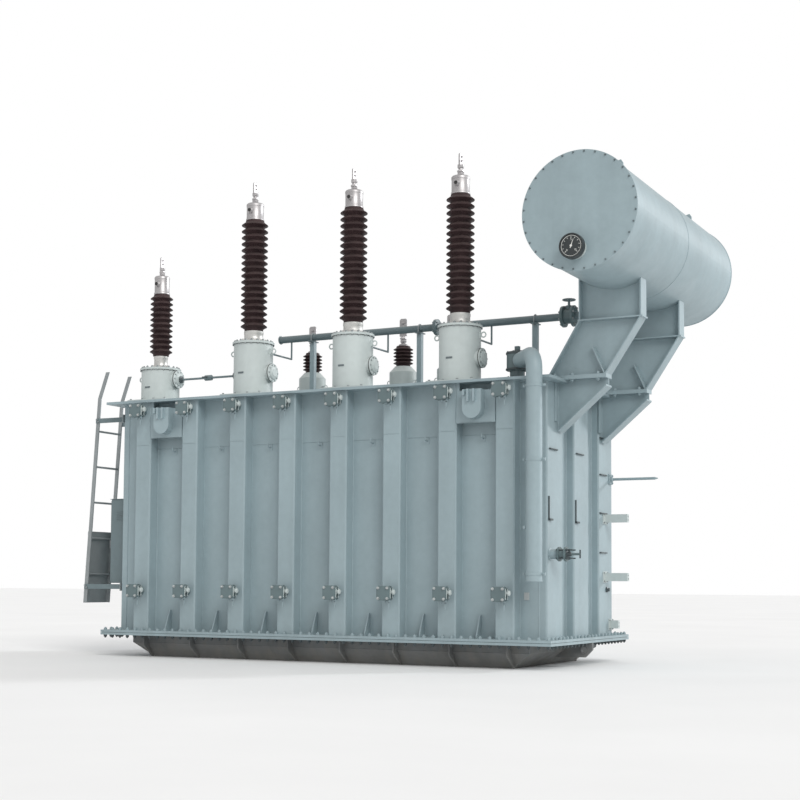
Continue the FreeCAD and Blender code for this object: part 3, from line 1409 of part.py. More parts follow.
for item in doc.Objects:
    if "Invalid" in item.State or "Error" in item.State:
        raise RuntimeError(f"{item.Name} failed: {item.State}")
for node in nodes:
    if node.Shape.isNull() or not node.Shape.isValid():
        raise RuntimeError(f"{node.Label} has no valid shape")

os.makedirs("parts", exist_ok=True)
for node in nodes:
    node.Shape.exportStep(f"parts/{node.Label}.step")
    print(f"{node.Label}: {len(node.Shape.Solids)} solids, {node.Shape.Volume / 1e9:.4f} m3")
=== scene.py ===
"""Looks for the power transformer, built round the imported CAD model. Metres, in the CAD's frame."""
import json
import math
import random

import bmesh
import bpy
import numpy as np
from mathutils import Matrix, Vector


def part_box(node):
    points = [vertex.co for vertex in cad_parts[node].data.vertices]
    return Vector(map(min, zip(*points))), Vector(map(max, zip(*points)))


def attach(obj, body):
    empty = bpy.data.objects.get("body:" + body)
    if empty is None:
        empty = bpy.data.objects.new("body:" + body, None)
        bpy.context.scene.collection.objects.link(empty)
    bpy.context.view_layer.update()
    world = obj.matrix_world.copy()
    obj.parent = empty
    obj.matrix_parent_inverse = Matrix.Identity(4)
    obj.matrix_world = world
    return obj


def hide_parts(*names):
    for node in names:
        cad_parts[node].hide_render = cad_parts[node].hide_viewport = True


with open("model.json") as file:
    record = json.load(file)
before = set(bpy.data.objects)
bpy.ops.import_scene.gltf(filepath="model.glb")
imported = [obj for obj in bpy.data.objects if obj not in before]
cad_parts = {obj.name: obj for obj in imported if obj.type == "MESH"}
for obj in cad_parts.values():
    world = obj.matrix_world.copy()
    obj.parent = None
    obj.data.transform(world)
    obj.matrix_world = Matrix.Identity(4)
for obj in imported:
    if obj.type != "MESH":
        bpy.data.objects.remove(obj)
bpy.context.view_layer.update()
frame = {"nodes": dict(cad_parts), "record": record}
scene = bpy.context.scene

X = Vector((1, 0, 0))
Y = Vector((0, 1, 0))
Z = Vector((0, 0, 1))
M14 = {"flats": 0.022, "head": 0.012, "stud": 0.006}
CORNERS = ((-1, -1), (-1, 1), (1, -1), (1, 1))


# ---- camera, floor and light

def make_camera():
    """The photo's viewpoint: low, from the front right, with the horizon near the base."""
    pitch = math.radians(3.5)
    yaw = math.radians(27.404)
    roll = math.radians(0.371)
    ahead = Vector((-math.sin(yaw) * math.cos(pitch), math.cos(yaw) * math.cos(pitch), math.sin(pitch)))
    level = Vector((math.cos(yaw), math.sin(yaw), 0))
    above = level.cross(ahead)
    right = level * math.cos(roll) + above * math.sin(roll)
    up = above * math.cos(roll) - level * math.sin(roll)
    data = bpy.data.cameras.new("camera")
    data.sensor_width = 36
    data.lens = 65.82
    data.shift_y = 0.117
    data.clip_end = 500
    camera = bpy.data.objects.new("camera", data)
    camera.matrix_world = Matrix((
        (right.x, up.x, -ahead.x, 8.582),
        (right.y, up.y, -ahead.y, -15.553),
        (right.z, up.z, -ahead.z, 0.912),
        (0, 0, 0, 1),
    ))
    scene.collection.objects.link(camera)
    scene.camera = camera


def make_light():
    """A white studio seen as plain white, a broad warm key and a narrower cool light on the end wall."""
    world = bpy.data.worlds.new("studio")
    world.use_nodes = True
    tree = world.node_tree
    background = tree.nodes["Background"]
    background.inputs["Color"].default_value = (1, 1, 1, 1)
    background.inputs["Strength"].default_value = 0.66
    white = tree.nodes.new("ShaderNodeBackground")
    white.inputs["Color"].default_value = (1, 1, 1, 1)
    white.inputs["Strength"].default_value = 1.0
    path = tree.nodes.new("ShaderNodeLightPath")
    pick = tree.nodes.new("ShaderNodeMixShader")
    tree.links.new(path.outputs["Is Camera Ray"], pick.inputs[0])
    tree.links.new(background.outputs[0], pick.inputs[1])
    tree.links.new(white.outputs[0], pick.inputs[2])
    tree.links.new(pick.outputs[0], tree.nodes["World Output"].inputs["Surface"])
    scene.world = world
    warm, cool = (1.0, 0.985, 0.96), (0.96, 0.98, 1.0)
    for name, towards, energy, angle, colour in (
        ("key", (0.62, -0.52, 0.60), 1.45, 30, warm),
        ("side", (0.60, 0.70, 0.30), 1.22, 6, cool),
    ):
        data = bpy.data.lights.new(name, "SUN")
        data.energy = energy
        data.angle = math.radians(angle)
        data.color = colour
        light = bpy.data.objects.new(name, data)
        light.rotation_mode = "QUATERNION"
        light.rotation_quaternion = Vector(towards).to_track_quat("Z", "Y")
        scene.collection.objects.link(light)


# ---- materials

class Shader:
    """A small helper round one material's node tree."""

    def __init__(self, name):
        self.material = bpy.data.materials.new(name)
        self.material.use_nodes = True
        self.tree = self.material.node_tree
        self.shader = self.tree.nodes["Principled BSDF"]
        self.place = self.node("ShaderNodeTexCoord").outputs["Object"]

    def node(self, kind, **settings):
        made = self.tree.nodes.new(kind)
        for key, setting in settings.items():
            setattr(made, key, setting)
        return made

    def link(self, source, target):
        self.tree.links.new(source, target)

    def set(self, **sockets):
        for name, setting in sockets.items():
            self.shader.inputs[name.replace("_", " ")].default_value = setting

    def noise(self, scale, detail=4.0, stretch=(1, 1, 1), rough=0.55):
        mapping = self.node("ShaderNodeMapping")
        mapping.inputs["Scale"].default_value = stretch
        self.link(self.place, mapping.inputs["Vector"])
        made = self.node("ShaderNodeTexNoise")
        made.inputs["Scale"].default_value = scale
        made.inputs["Detail"].default_value = detail
        made.inputs["Roughness"].default_value = rough
        self.link(mapping.outputs[0], made.inputs["Vector"])
        return made.outputs["Fac"]

    def cloud(self, scale, detail, to_low, to_high):
        """Soft noise spread over a range of values."""
        return self.remap(self.noise(scale, detail), 0.3, 0.7, to_low, to_high)

    def wear(self, tone):
        self.link(tone, self.shader.inputs["Base Color"])

    def rough(self, scale, detail, low, high):
        self.link(self.cloud(scale, detail, low, high), self.shader.inputs["Roughness"])

    def remap(self, source, low, high, to_low, to_high):
        made = self.node("ShaderNodeMapRange")
        made.inputs["From Min"].default_value = low
        made.inputs["From Max"].default_value = high
        made.inputs["To Min"].default_value = to_low
        made.inputs["To Max"].default_value = to_high
        self.link(source, made.inputs["Value"])
        return made.outputs["Result"]

    def math(self, operation, a, b):
        made = self.node("ShaderNodeMath", operation=operation)
        for socket, term in zip(made.inputs, (a, b)):
            if isinstance(term, (int, float)):
                socket.default_value = term
            else:
                self.link(term, socket)
        return made.outputs[0]

    def mix(self, factor, a, b, how="MIX"):
        made = self.node("ShaderNodeMix", data_type="RGBA", blend_type=how)
        for socket, term in zip((made.inputs["Factor"], made.inputs["A"], made.inputs["B"]), (factor, a, b)):
            self.feed(term, socket)
        return made.outputs["Result"]

    def feed(self, term, socket):
        if isinstance(term, (int, float)):
            socket.default_value = term
        elif isinstance(term, tuple):
            socket.default_value = (*term, 1)
        else:
            self.link(term, socket)

    def upward(self, source):
        split = self.node("ShaderNodeSeparateXYZ")
        self.link(source, split.inputs[0])
        return split.outputs["Z"]

    def facing_up(self):
        return self.upward(self.node("ShaderNodeNewGeometry").outputs["Normal"])

    def height(self):
        return self.upward(self.place)

    def bump(self, source, distance, strength=1.0):
        made = self.node("ShaderNodeBump")
        made.inputs["Strength"].default_value = strength
        made.inputs["Distance"].default_value = distance
        self.link(source, made.inputs["Height"])
        self.link(made.outputs[0], self.shader.inputs["Normal"])


def shade(colour, factor):
    return tuple(c * factor for c in colour)


def paint(name, colour, rough=0.42, cloud=0.06, streak=0.07, dust=0.25, grime=0.0, peel=0.0004):
    """Sprayed paint on steel: cloudy tone, rain streaks, dust on what faces up, grime low down."""
    m = Shader(name)
    tone = m.mix(m.cloud(0.9, 5, 0, 1), shade(colour, 1 - cloud), shade(colour, 1 + cloud))
    fine = m.cloud(14, 5, 0.965, 1.03)
    runs = m.remap(m.noise(3.2, 5, (1, 1, 0.07)), 0.42, 0.66, 1.0, 1 - streak)
    value = m.math("MULTIPLY", fine, runs)
    grey = m.node("ShaderNodeCombineColor")
    for socket in grey.inputs:
        m.link(value, socket)
    tone = m.mix(1.0, tone, grey.outputs[0], "MULTIPLY")
    if dust:
        up = m.remap(m.facing_up(), 0.35, 1.0, 0, dust)
        settled = m.math("MULTIPLY", up, m.remap(m.noise(6, 6), 0.25, 0.75, 0.4, 1.2))
        tone = m.mix(settled, tone, (0.42, 0.42, 0.39))
    if grime:
        low = m.remap(m.height(), 0.25, 1.1, grime, 0)
        patchy = m.math("MULTIPLY", low, m.remap(m.noise(4.5, 7, (1, 1, 0.4)), 0.35, 0.7, 0, 1.3))
        tone = m.mix(patchy, tone, (0.10, 0.098, 0.085))
    m.wear(tone)
    m.rough(5, 6, rough - 0.08, rough + 0.10)
    m.bump(m.math("ADD", m.noise(220, 2), m.math("MULTIPLY", m.noise(1.6, 3), 3.0)), peel)
    return m.material


def base_steel(name):
    """The base: dark paint, dulled, scuffed and muddy in runs."""
    m = Shader(name)
    tone = m.mix(m.remap(m.noise(2.2, 6), 0.32, 0.68, 0, 1), (0.115, 0.121, 0.123), (0.205, 0.212, 0.214))
    runs = m.remap(m.noise(7, 6, (1, 1, 0.12)), 0.45, 0.7, 0, 0.75)
    tone = m.mix(runs, tone, (0.20, 0.195, 0.18))
    chips = m.remap(m.noise(26, 8, rough=0.7), 0.62, 0.70, 0, 0.6)
    tone = m.mix(chips, tone, (0.14, 0.085, 0.055))
    dusted = m.remap(m.height(), 0.0, 0.20, 0.35, 0)
    tone = m.mix(dusted, tone, (0.27, 0.26, 0.235))
    m.wear(tone)
    m.rough(9, 6, 0.55, 0.85)
    m.bump(m.noise(60, 6), 0.002)
    return m.material


def glaze(name):
    """Brown glazed porcelain, with dust on the tops of the sheds."""
    m = Shader(name)
    tone = m.mix(m.cloud(7, 5, 0, 1), (0.030, 0.019, 0.020), (0.058, 0.036, 0.037))
    dust = m.math("MULTIPLY", m.remap(m.facing_up(), 0.2, 1.0, 0, 0.30), m.cloud(16, 6, 0.3, 1))
    tone = m.mix(dust, tone, (0.16, 0.14, 0.13))
    m.wear(tone)
    m.rough(11, 5, 0.40, 0.56)
    m.set(Specular_IOR_Level=0.12)
    m.bump(m.noise(45, 3), 0.0003)
    return m.material


def metal(name, colour, rough, turned=0.0002, metallic=1.0):
    """Bare or plated metal: turning marks round the vertical, dull patches, fine scratches."""
    m = Shader(name)
    tone = m.mix(m.cloud(5, 6, 0, 1), shade(colour, 0.86), shade(colour, 1.06))
    spots = m.remap(m.noise(30, 7, rough=0.65), 0.58, 0.72, 0, 0.35)
    tone = m.mix(spots, tone, shade(colour, 0.6))
    m.wear(tone)
    m.set(Metallic=metallic)
    m.rough(8, 6, rough - 0.07, rough + 0.12)
    m.bump(m.math("ADD", m.noise(90, 2, (0.1, 0.1, 4.0)), m.noise(50, 5)), turned)
    return m.material


def rubber(name, colour=(0.022, 0.022, 0.022)):
    m = Shader(name)
    tone = m.mix(m.cloud(18, 6, 0, 1), shade(colour, 0.7), shade(colour, 1.6))
    m.wear(tone)
    m.rough(30, 5, 0.6, 0.85)
    m.bump(m.noise(140, 4), 0.0006)
    return m.material


def make_floor_material():
    m = Shader("pale_floor")
    tone = m.mix(m.cloud(0.35, 4, 0, 1), (0.86, 0.86, 0.86), (0.90, 0.90, 0.90))
    m.wear(tone)
    m.set(Roughness=0.75)
    return m.material


TANK = (0.300, 0.385, 0.415)
looks = {
    "tank_paint": paint("tank_paint", TANK, grime=0.10),
    "base_paint": base_steel("base_paint"),
    "turret_paint": paint("turret_paint", (0.53, 0.59, 0.585), rough=0.40, cloud=0.04, streak=0.05),
    "valve_paint": paint("valve_paint", (0.125, 0.175, 0.185), rough=0.38, cloud=0.10),
    "pipe_paint": paint("pipe_paint", (0.150, 0.200, 0.215), rough=0.40, cloud=0.10),
    "porcelain": glaze("porcelain"),
    "cap_metal": metal("cap_metal", (0.50, 0.485, 0.49), 0.40, metallic=0.70),
    "collar_metal": metal("collar_metal", (0.66, 0.66, 0.64), 0.46, metallic=0.75),
    "ladder_zinc": metal("ladder_zinc", (0.34, 0.37, 0.38), 0.50, metallic=0.55),
    "gasket": rubber("gasket"),
    "gauge_black": paint("gauge_black", (0.030, 0.036, 0.038), rough=0.35, cloud=0.15, dust=0.12),
}
extra = {
    "bolt_zinc": metal("bolt_zinc", (0.33, 0.36, 0.37), 0.46, metallic=0.50),
    "bolt_light": metal("bolt_light", (0.52, 0.55, 0.55), 0.42, metallic=0.60),
    "bolt_grey": paint("bolt_grey", (0.130, 0.160, 0.172), rough=0.42, cloud=0.2, dust=0.1),
    "bolt_dark": paint("bolt_dark", (0.062, 0.080, 0.086), rough=0.42, cloud=0.2, dust=0.0),
    "dial_white": paint("dial_white", (0.72, 0.73, 0.70), rough=0.35, cloud=0.03, streak=0.0, dust=0.0),
}


def dress(node, material):
    """Gives a CAD node's own material slots a better material."""
    item = frame["nodes"][node]
    if not item.material_slots:
        item.data.materials.append(material)
    for place in item.material_slots:
        place.material = material


# ---- mesh helpers

def axes(along, side=None):
    """Two directions square to along; the first is as near as it can be to side."""
    along = Vector(along).normalized()
    if side is None:
        side = X if abs(along.x) < 0.9 else Y
    across = (Vector(side) - along * along.dot(Vector(side))).normalized()
    return across, along.cross(across)


def heading(u, v, angle):
    """The direction at an angle in radians from u towards v."""
    return Vector(u) * math.cos(angle) + Vector(v) * math.sin(angle)


def lathe(bm, at, along, profile, segments=32, side=None, turn=0.0):
    """A closed solid of revolution: profile is (radius, distance along) from one end to the other."""
    at, along = Vector(at), Vector(along).normalized()
    across, other = axes(along, side)
    rings = []
    for radius, distance in profile:
        centre = at + along * distance
        if radius < 1e-6:
            rings.append([bm.verts.new(centre)])
            continue
        angles = (turn + 2 * math.pi * i / segments for i in range(segments))
        rings.append([bm.verts.new(centre + heading(across, other, a) * radius) for a in angles])
    for low, high in zip(rings, rings[1:]):
        for i in range(segments):
            j = (i + 1) % segments
            if len(low) == 1 and len(high) == 1:
                break
            if len(low) == 1:
                bm.faces.new((low[0], high[j], high[i]))
            elif len(high) == 1:
                bm.faces.new((low[i], low[j], high[0]))
            else:
                bm.faces.new((low[i], low[j], high[j], high[i]))
    if len(rings[0]) > 1:
        bm.faces.new(tuple(reversed(rings[0])))
    if len(rings[-1]) > 1:
        bm.faces.new(tuple(rings[-1]))


def slab(bm, at, along, side, outline, thick):
    """A flat plate: outline is (a, b) points, a along side; it reaches thick along its axis."""
    at, along = Vector(at), Vector(along).normalized()
    across, other = axes(along, side)
    low = [bm.verts.new(at + across * a + other * b) for a, b in outline]
    high = [bm.verts.new(v.co + along * thick) for v in low]
    count = len(low)
    for i in range(count):
        j = (i + 1) % count
        bm.faces.new((low[i], low[j], high[j], high[i]))
    bm.faces.new(tuple(reversed(low)))
    bm.faces.new(tuple(high))


def oblong(low_a, high_a, low_b, high_b):
    """Outline of a rectangle between two corners."""
    return [(low_a, low_b), (high_a, low_b), (high_a, high_b), (low_a, high_b)]


def rectangle(half_a, half_b):
    """Outline of a rectangle round its middle."""
    return oblong(-half_a, half_a, -half_b, half_b)


def tube(bm, points, radius, segments=10, closed=False):
    """A round bar or pipe along points, with flat ends."""
    points = [Vector(p) for p in points]
    count = len(points)
    directions = []
    for i in range(count):
        before = points[i - 1] if i or closed else points[i]
        after = points[(i + 1) % count] if i < count - 1 or closed else points[i]
        directions.append((after - before).normalized())
    across, _ = axes(directions[0])
    rings = []
    for point, direction in zip(points, directions):
        across = (across - direction * direction.dot(across)).normalized()
        other = direction.cross(across)
        angles = (2 * math.pi * i / segments for i in range(segments))
        rings.append([bm.verts.new(point + heading(across, other, a) * radius) for a in angles])
    pairs = list(zip(rings, rings[1:]))
    if closed:
        pairs.append((rings[-1], rings[0]))
    for low, high in pairs:
        for i in range(segments):
            j = (i + 1) % segments
            bm.faces.new((low[i], low[j], high[j], high[i]))
    if not closed:
        bm.faces.new(tuple(reversed(rings[0])))
        bm.faces.new(tuple(rings[-1]))


def arc(centre, a_axis, b_axis, radius, start, end, steps):
    """Points on an arc, angles in degrees from a_axis towards b_axis."""
    angles = (math.radians(start + (end - start) * i / steps) for i in range(steps + 1))
    return [Vector(centre) + heading(a_axis, b_axis, a) * radius for a in angles]


def circle(centre, a_axis, b_axis, radius, count):
    """Points all round a circle, the first one along a_axis."""
    return arc(centre, a_axis, b_axis, radius, 0, 360, count)[:-1]


def bolt(bm, at, along, flats=0.030, head=0.014, stud=0.0, washer=True, turn=0.3):
    """A hexagon head or nut on a washer, with a stud end through it if asked for."""
    radius = flats / math.sqrt(3)
    rise = 0.0
    if washer:
        rise = flats * 0.10
        lathe(bm, at, along, [(flats * 0.62, 0), (flats * 0.62, rise)], 10)
    top = rise + head
    lathe(bm, at, along, [(radius, rise), (radius, top - flats * 0.06), (radius * 0.86, top)], 6, turn=turn)
    if stud:
        r = flats * 0.30
        lathe(bm, at, along, [(r, top), (r, top + stud - r * 0.3), (r * 0.7, top + stud)], 8)


def nut(bm, at, along, inner, outer, height, turn=0.0):
    """A large hexagon nut with its ends cut back."""
    cut = 0.004
    lathe(bm, at, along, [(inner, 0), (outer, cut), (outer, height - cut), (inner, height)], 6, turn=turn)


def flange(bm, at, along, bore, outer, thick, face=None):
    """A round flange on a pipe of radius bore, with softened corners."""
    face = outer - 0.002 if face is None else face
    lathe(bm, at, along, [
        (bore, 0), (outer - 0.002, 0), (outer, 0.003), (outer, thick - 0.002), (face, thick), (bore, thick),
    ], 36)


def bolt_ring(bm, centre, along, radius, count, start=0.0, **size):
    """Bolts at an even pitch on a circle; size goes to each bolt."""
    centre = Vector(centre)
    across, other = axes(along)
    for i in range(count):
        out = heading(across, other, start + 2 * math.pi * i / count)
        bolt(bm, centre + out * radius, along, **size)


def piece(name, bm, look, smooth=None, bevel=0.0, replaces=()):
    """Turns a bmesh into an object that rides on the fixed body; its slot is its look's."""
    bmesh.ops.recalc_face_normals(bm, faces=bm.faces)
    data = bpy.data.meshes.new(name)
    bm.to_mesh(data)
    bm.free()
    made = bpy.data.objects.new(name, data)
    scene.collection.objects.link(made)
    data.materials.append(extra.get(look) or looks[look])
    if bevel:
        edge = made.modifiers.new("edges", "BEVEL")
        edge.width = bevel
        edge.segments = 2
        edge.limit_method = "ANGLE"
        edge.angle_limit = math.radians(40)
    if smooth:
        data.shade_smooth()
        data.set_sharp_from_angle(angle=math.radians(smooth))
    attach(made, "root")
    if replaces:
        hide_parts(*replaces)


def middle_above(box):
    """The middle of a box seen from above, at height zero."""
    low, high = box
    return Vector(((low.x + high.x) / 2, (low.y + high.y) / 2, 0))


def middle_of(box):
    return (box[0] + box[1]) / 2


def solids(node):
    """Boxes (low, high) of the separate solids of a CAD node, sorted along X then Z."""
    data = frame["nodes"][node].data
    keys, owner = {}, []
    for v in data.vertices:
        key = tuple(round(c, 5) for c in v.co)
        owner.append(keys.setdefault(key, len(keys)))
    parent = list(range(len(keys)))

    def find(a):
        while parent[a] != a:
            parent[a] = parent[parent[a]]
            a = parent[a]
        return a

    for e in data.edges:
        a, b = (find(owner[i]) for i in e.vertices)
        parent[a] = b
    groups = {}
    for v, k in zip(data.vertices, owner):
        groups.setdefault(find(k), []).append(tuple(v.co))
    boxes = []
    for points in groups.values():
        spread = np.array(points)
        boxes.append((Vector(spread.min(0)), Vector(spread.max(0))))
    return sorted(boxes, key=lambda b: (round(b[0].x, 3), round(b[0].z, 3)))


# ---- what the CAD gives

tank_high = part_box("tank_body")[1]
cover_low, cover_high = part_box("cover")
flange_low, flange_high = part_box("upper_flange")
under_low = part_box("lower_flange")[0]
WALL_X, WALL_Y = tank_high.x, tank_high.y
TOP = cover_high.z
FLANGE_TOP = flange_high.z
front_ribs = solids("front_ribs")
RIB_Y = -front_ribs[0][0].y
END_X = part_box("right_end_ribs")[1].x
TURRET_RADIUS = 0.235


# ---- bushings

def column(core, rim, height, count):
    """Profile of a porcelain column: even sheds with sharp rims and open valleys, and bare ends."""
    bare = 0.020
    core = max(core, rim * 0.70)
    pitch = (height - bare * 2) / count
    profile = [(0, 0), (core * 0.98, 0), (core, 0.006)]
    for i in range(count):
        base = bare + pitch * i
        profile += [
            (core, base),
            (core + 0.006, base + pitch * 0.14),
            (rim - 0.010, base + pitch * 0.40),
            (rim - 0.002, base + pitch * 0.43),
            (rim, base + pitch * 0.50),
            (rim - 0.004, base + pitch * 0.57),
            (core + (rim - core) * 0.45, base + pitch * 0.78),
            (core + 0.003, base + pitch * 0.95),
        ]
    profile += [(core, height - 0.006), (core * 0.98, height), (0, height)]
    return profile


def make_bushings():
    """Collars, porcelain, caps and turret bolts of the neutral and the three phases."""
    names = ("neutral", "phase_a", "phase_b", "phase_c")
    nodes = ("turrets", "bushing_collars", "bushing_insulators", "bushing_caps")
    for name, turret, collar, porcelain, cap in zip(names, *(solids(node) for node in nodes)):
        tall = name != "neutral"
        core, body, sheds = (0.092, 0.117, 17) if tall else (0.074, 0.087, 11)
        centre = middle_above(collar)
        foot = centre + Z * collar[0].z
        foot_radius = (collar[1].x - collar[0].x) / 2
        top = collar[1].z - collar[0].z
        bm = bmesh.new()
        lathe(bm, foot, Z, [
            (0, 0), (foot_radius, 0), (foot_radius, 0.020), (foot_radius - 0.004, 0.024),
            (body + 0.014, 0.026), (body + 0.003, 0.036), (body - 0.004, 0.060), (body - 0.004, top - 0.040),
            (body, top - 0.034), (body, top - 0.004), (body - 0.004, top), (0, top),
        ], 48)
        bolt_ring(bm, foot + Z * 0.024, Z, foot_radius - 0.022, 12, flats=0.024, head=0.013, stud=0.006)
        piece(f"{name}_collar", bm, "collar_metal", 35, replaces=() if tall else ("bushing_collars",))

        rim = (porcelain[1].y - porcelain[0].y) / 2
        height = porcelain[1].z - porcelain[0].z
        bm = bmesh.new()
        lathe(bm, centre + Z * porcelain[0].z, Z, column(core, rim, height, sheds), 56)
        piece(f"{name}_porcelain", bm, "porcelain", 50, replaces=() if tall else ("bushing_insulators",))

        make_cap(name, centre + Z * cap[0].z, cap[1].z - cap[0].z, tall)
        make_turret_bolts(name, centre, turret[1].z)


def make_cap(name, foot, total, tall):
    """Bright cap with its tap, terminal stud with nuts, and a drilled flat palm."""
    radius, height = (0.109, 0.215) if tall else (0.098, 0.235)
    stud, stud_height, palm = (0.027, 0.130, 0.080) if tall else (0.024, 0.110, 0.070)
    wall = radius - 0.006
    bm = bmesh.new()
    lathe(bm, foot, Z, [
        (0, 0), (radius - 0.003, 0), (radius, 0.003), (radius, 0.020), (radius - 0.003, 0.024), (wall, 0.028),
        (wall, height - 0.046), (wall + 0.003, height - 0.044), (wall + 0.003, height - 0.022),
        (wall, height - 0.016), (wall * 0.90, height - 0.006), (wall * 0.50, height), (0, height),
    ], 48)
    bolt_ring(bm, foot + Z * (height - 0.020), Z, wall - 0.010, 8, flats=0.012, head=0.007)
    knob = foot - Y * (wall - 0.004) + Z * (height * 0.52)
    lathe(bm, knob, -Y, [
        (0.036, 0), (0.036, 0.012), (0.032, 0.016), (0.030, 0.026), (0.026, 0.030), (0, 0.030),
    ], 24)
    plug = bmesh.new()
    lathe(plug, knob - Y * 0.029, -Y, [(0.021, 0), (0.021, 0.006), (0.014, 0.009), (0, 0.010)], 20)
    piece(f"{name}_cap_plug", plug, "gasket", 40)
    top = foot + Z * height
    shank = stud * 0.92
    lathe(bm, top, Z, [
        (stud, 0), (stud, 0.012), (shank, 0.014), (shank, stud_height - 0.004), (stud * 0.84, stud_height),
    ], 24)
    nut(bm, top + Z * 0.010, Z, stud * 1.42, stud * 1.5, 0.028)
    nut(bm, top + Z * 0.042, Z, stud * 1.42, stud * 1.5, 0.022, turn=0.4)
    socket = stud * 1.36
    lathe(bm, top + Z * (stud_height - 0.040), Z, [
        (stud * 1.30, 0), (socket, 0.004), (socket, 0.036), (stud, 0.040),
    ], 20)
    palm_height = total - height - stud_height
    drilled_palm(bm, top + Z * (stud_height - 0.012), Y, palm, palm_height + 0.012, 0.018)
    piece(f"{name}_cap", bm, "cap_metal", 38, replaces=() if tall else ("bushing_caps",))


def drilled_palm(bm, foot, across, width, height, thick):
    """An upright flat bar with two bolts through it, one above the other."""
    half = width / 2
    cut = width * 0.18
    out = Z.cross(across)
    slab(bm, foot - out * (thick / 2), out, Z, [
        (0, half), (height - cut, half), (height, half - cut),
        (height, -half + cut), (height - cut, -half), (0, -half),
    ], thick)
    for share in (0.40, 0.74):
        for sign in (-1, 1):
            at = foot + Z * (height * share) + out * (sign * thick / 2)
            bolt(bm, at, out * sign, flats=width * 0.26, head=width * 0.14, stud=width * 0.05)


def make_turret_bolts(name, centre, top):
    """Bolts round a turret's top flange and on its square pad."""
    bm = bmesh.new()
    at = centre + Z * top
    ring = TURRET_RADIUS - 0.010
    bolt_ring(bm, at, Z, ring, 20, start=0.15, flats=0.026, head=0.014, stud=0.008)
    bolt_ring(bm, at - Z * 0.025, -Z, ring + 0.016, 20, start=0.15, flats=0.020, head=0.010, washer=False)
    pad = 0.285
    for a, b in CORNERS:
        for c, d in ((0.90, 0.90), (0.90, 0.30), (0.30, 0.90)):
            at = centre + X * (a * c * pad) + Y * (b * d * pad) + Z * (TOP + 0.025)
            bolt(bm, at, Z, flats=0.024, head=0.013)
    piece(f"{name}_turret_bolts", bm, "bolt_zinc")


# ---- low-voltage row

def make_low_voltage():
    """Sheds, studs with palms, bolts and lifting rings of the low-voltage row."""
    insulator, terminal, fitting, trim = (bmesh.new() for _ in range(4))
    for porcelain, stud in zip(solids("lv_insulators"), solids("lv_terminals")):
        centre = middle_above(porcelain)
        rim = (porcelain[1].y - porcelain[0].y) / 2
        sheds = column(0.078, rim, porcelain[1].z - porcelain[0].z, 5)
        lathe(insulator, centre + Z * porcelain[0].z, Z, sheds, 48)
        base = centre + Z * stud[0].z
        lathe(terminal, base, Z, [
            (0, 0), (0.060, 0), (0.060, 0.018), (0.050, 0.026), (0.030, 0.034), (0.026, 0.040),
            (0.026, 0.136), (0.022, 0.140), (0, 0.140),
        ], 24)
        nut(terminal, base + Z * 0.050, Z, 0.040, 0.043, 0.030)
        nut(terminal, base + Z * 0.088, Z, 0.040, 0.043, 0.024, turn=0.5)
        palm_foot = 0.128
        drilled_palm(terminal, base + Z * palm_foot, X, 0.100, stud[1].z - stud[0].z - palm_foot, 0.018)
        bolt_ring(fitting, centre + Z * (TOP + 0.387), Z, 0.140, 12, flats=0.020, head=0.010)
        bolt_ring(fitting, centre + Z * (TOP + 0.014), Z, 0.190, 12, **M14)
        lathe(trim, centre + Z * TOP, Z, [(0.215, 0), (0.215, 0.014), (0.172, 0.014)], 40)
        for sign in (-1, 1):
            at = centre + X * (sign * 0.198) + Z * (TOP + 0.30)
            tube(trim, arc(at, X, Z, 0.024, 0, 330, 11), 0.006, 7, closed=True)
    piece("lv_porcelain", insulator, "porcelain", 50, replaces=("lv_insulators",))
    piece("lv_studs", terminal, "cap_metal", 38, replaces=("lv_terminals",))
    piece("lv_turret_bolts", fitting, "bolt_zinc")
    piece("lv_turret_fittings", trim, "turret_paint", 40)


# ---- flanges, cover and walls

def along_edge(low, high, inset, pitch):
    """Points round a rectangle, inset from its edge, at an even pitch along each side."""
    made = []
    left, right = low.x + inset, high.x - inset
    front, back = low.y + inset, high.y - inset
    count = round((right - left) / pitch)
    for i in range(count + 1):
        x = left + (right - left) * i / count
        made += [(x, front), (x, back)]
    count = round((back - front) / pitch)
    for i in range(1, count):
        y = front + (back - front) * i / count
        made += [(left, y), (right, y)]
    return made


def make_flange_bolts():
    """Nuts above and heads below, all round the main flanges."""
    upper, lower = bmesh.new(), bmesh.new()
    for x, y in along_edge(flange_low, flange_high, 0.042, 0.112):
        turn = random.uniform(0, 1)
        bolt(upper, (x, y, FLANGE_TOP), Z, flats=0.036, head=0.019, stud=0.010, turn=turn)
        bolt(lower, (x, y, under_low.z), -Z, flats=0.036, head=0.022, stud=0.012, turn=turn)
    piece("main_flange_nuts", upper, "tank_paint")
    piece("main_flange_heads", lower, "bolt_dark")


def make_weld_beads():
    """Fillet welds where ribs, walls, cover and flange meet."""
    bm = bmesh.new()
    size = 0.006
    for node, sign in (("front_ribs", -1), ("rear_ribs", 1)):
        for low, high in solids(node):
            for x in (low.x, high.x):
                tube(bm, [(x, sign * WALL_Y, low.z + 0.01), (x, sign * WALL_Y, high.z - 0.01)], size, 6)
    for node, sign in (("right_end_ribs", 1), ("left_end_ribs", -1)):
        for low, high in solids(node):
            for y in (low.y, high.y):
                tube(bm, [(sign * WALL_X, y, low.z + 0.01), (sign * WALL_X, y, high.z - 0.01)], size, 6)
    for z in (FLANGE_TOP, cover_low.z):
        corners = [(-WALL_X, -WALL_Y, z), (WALL_X, -WALL_Y, z), (WALL_X, WALL_Y, z), (-WALL_X, WALL_Y, z)]
        for a, b in zip(corners, corners[1:] + corners[:1]):
            tube(bm, [a, b], size + 0.001, 6)
    piece("wall_welds", bm, "tank_paint", 60)


# ---- radiator valves

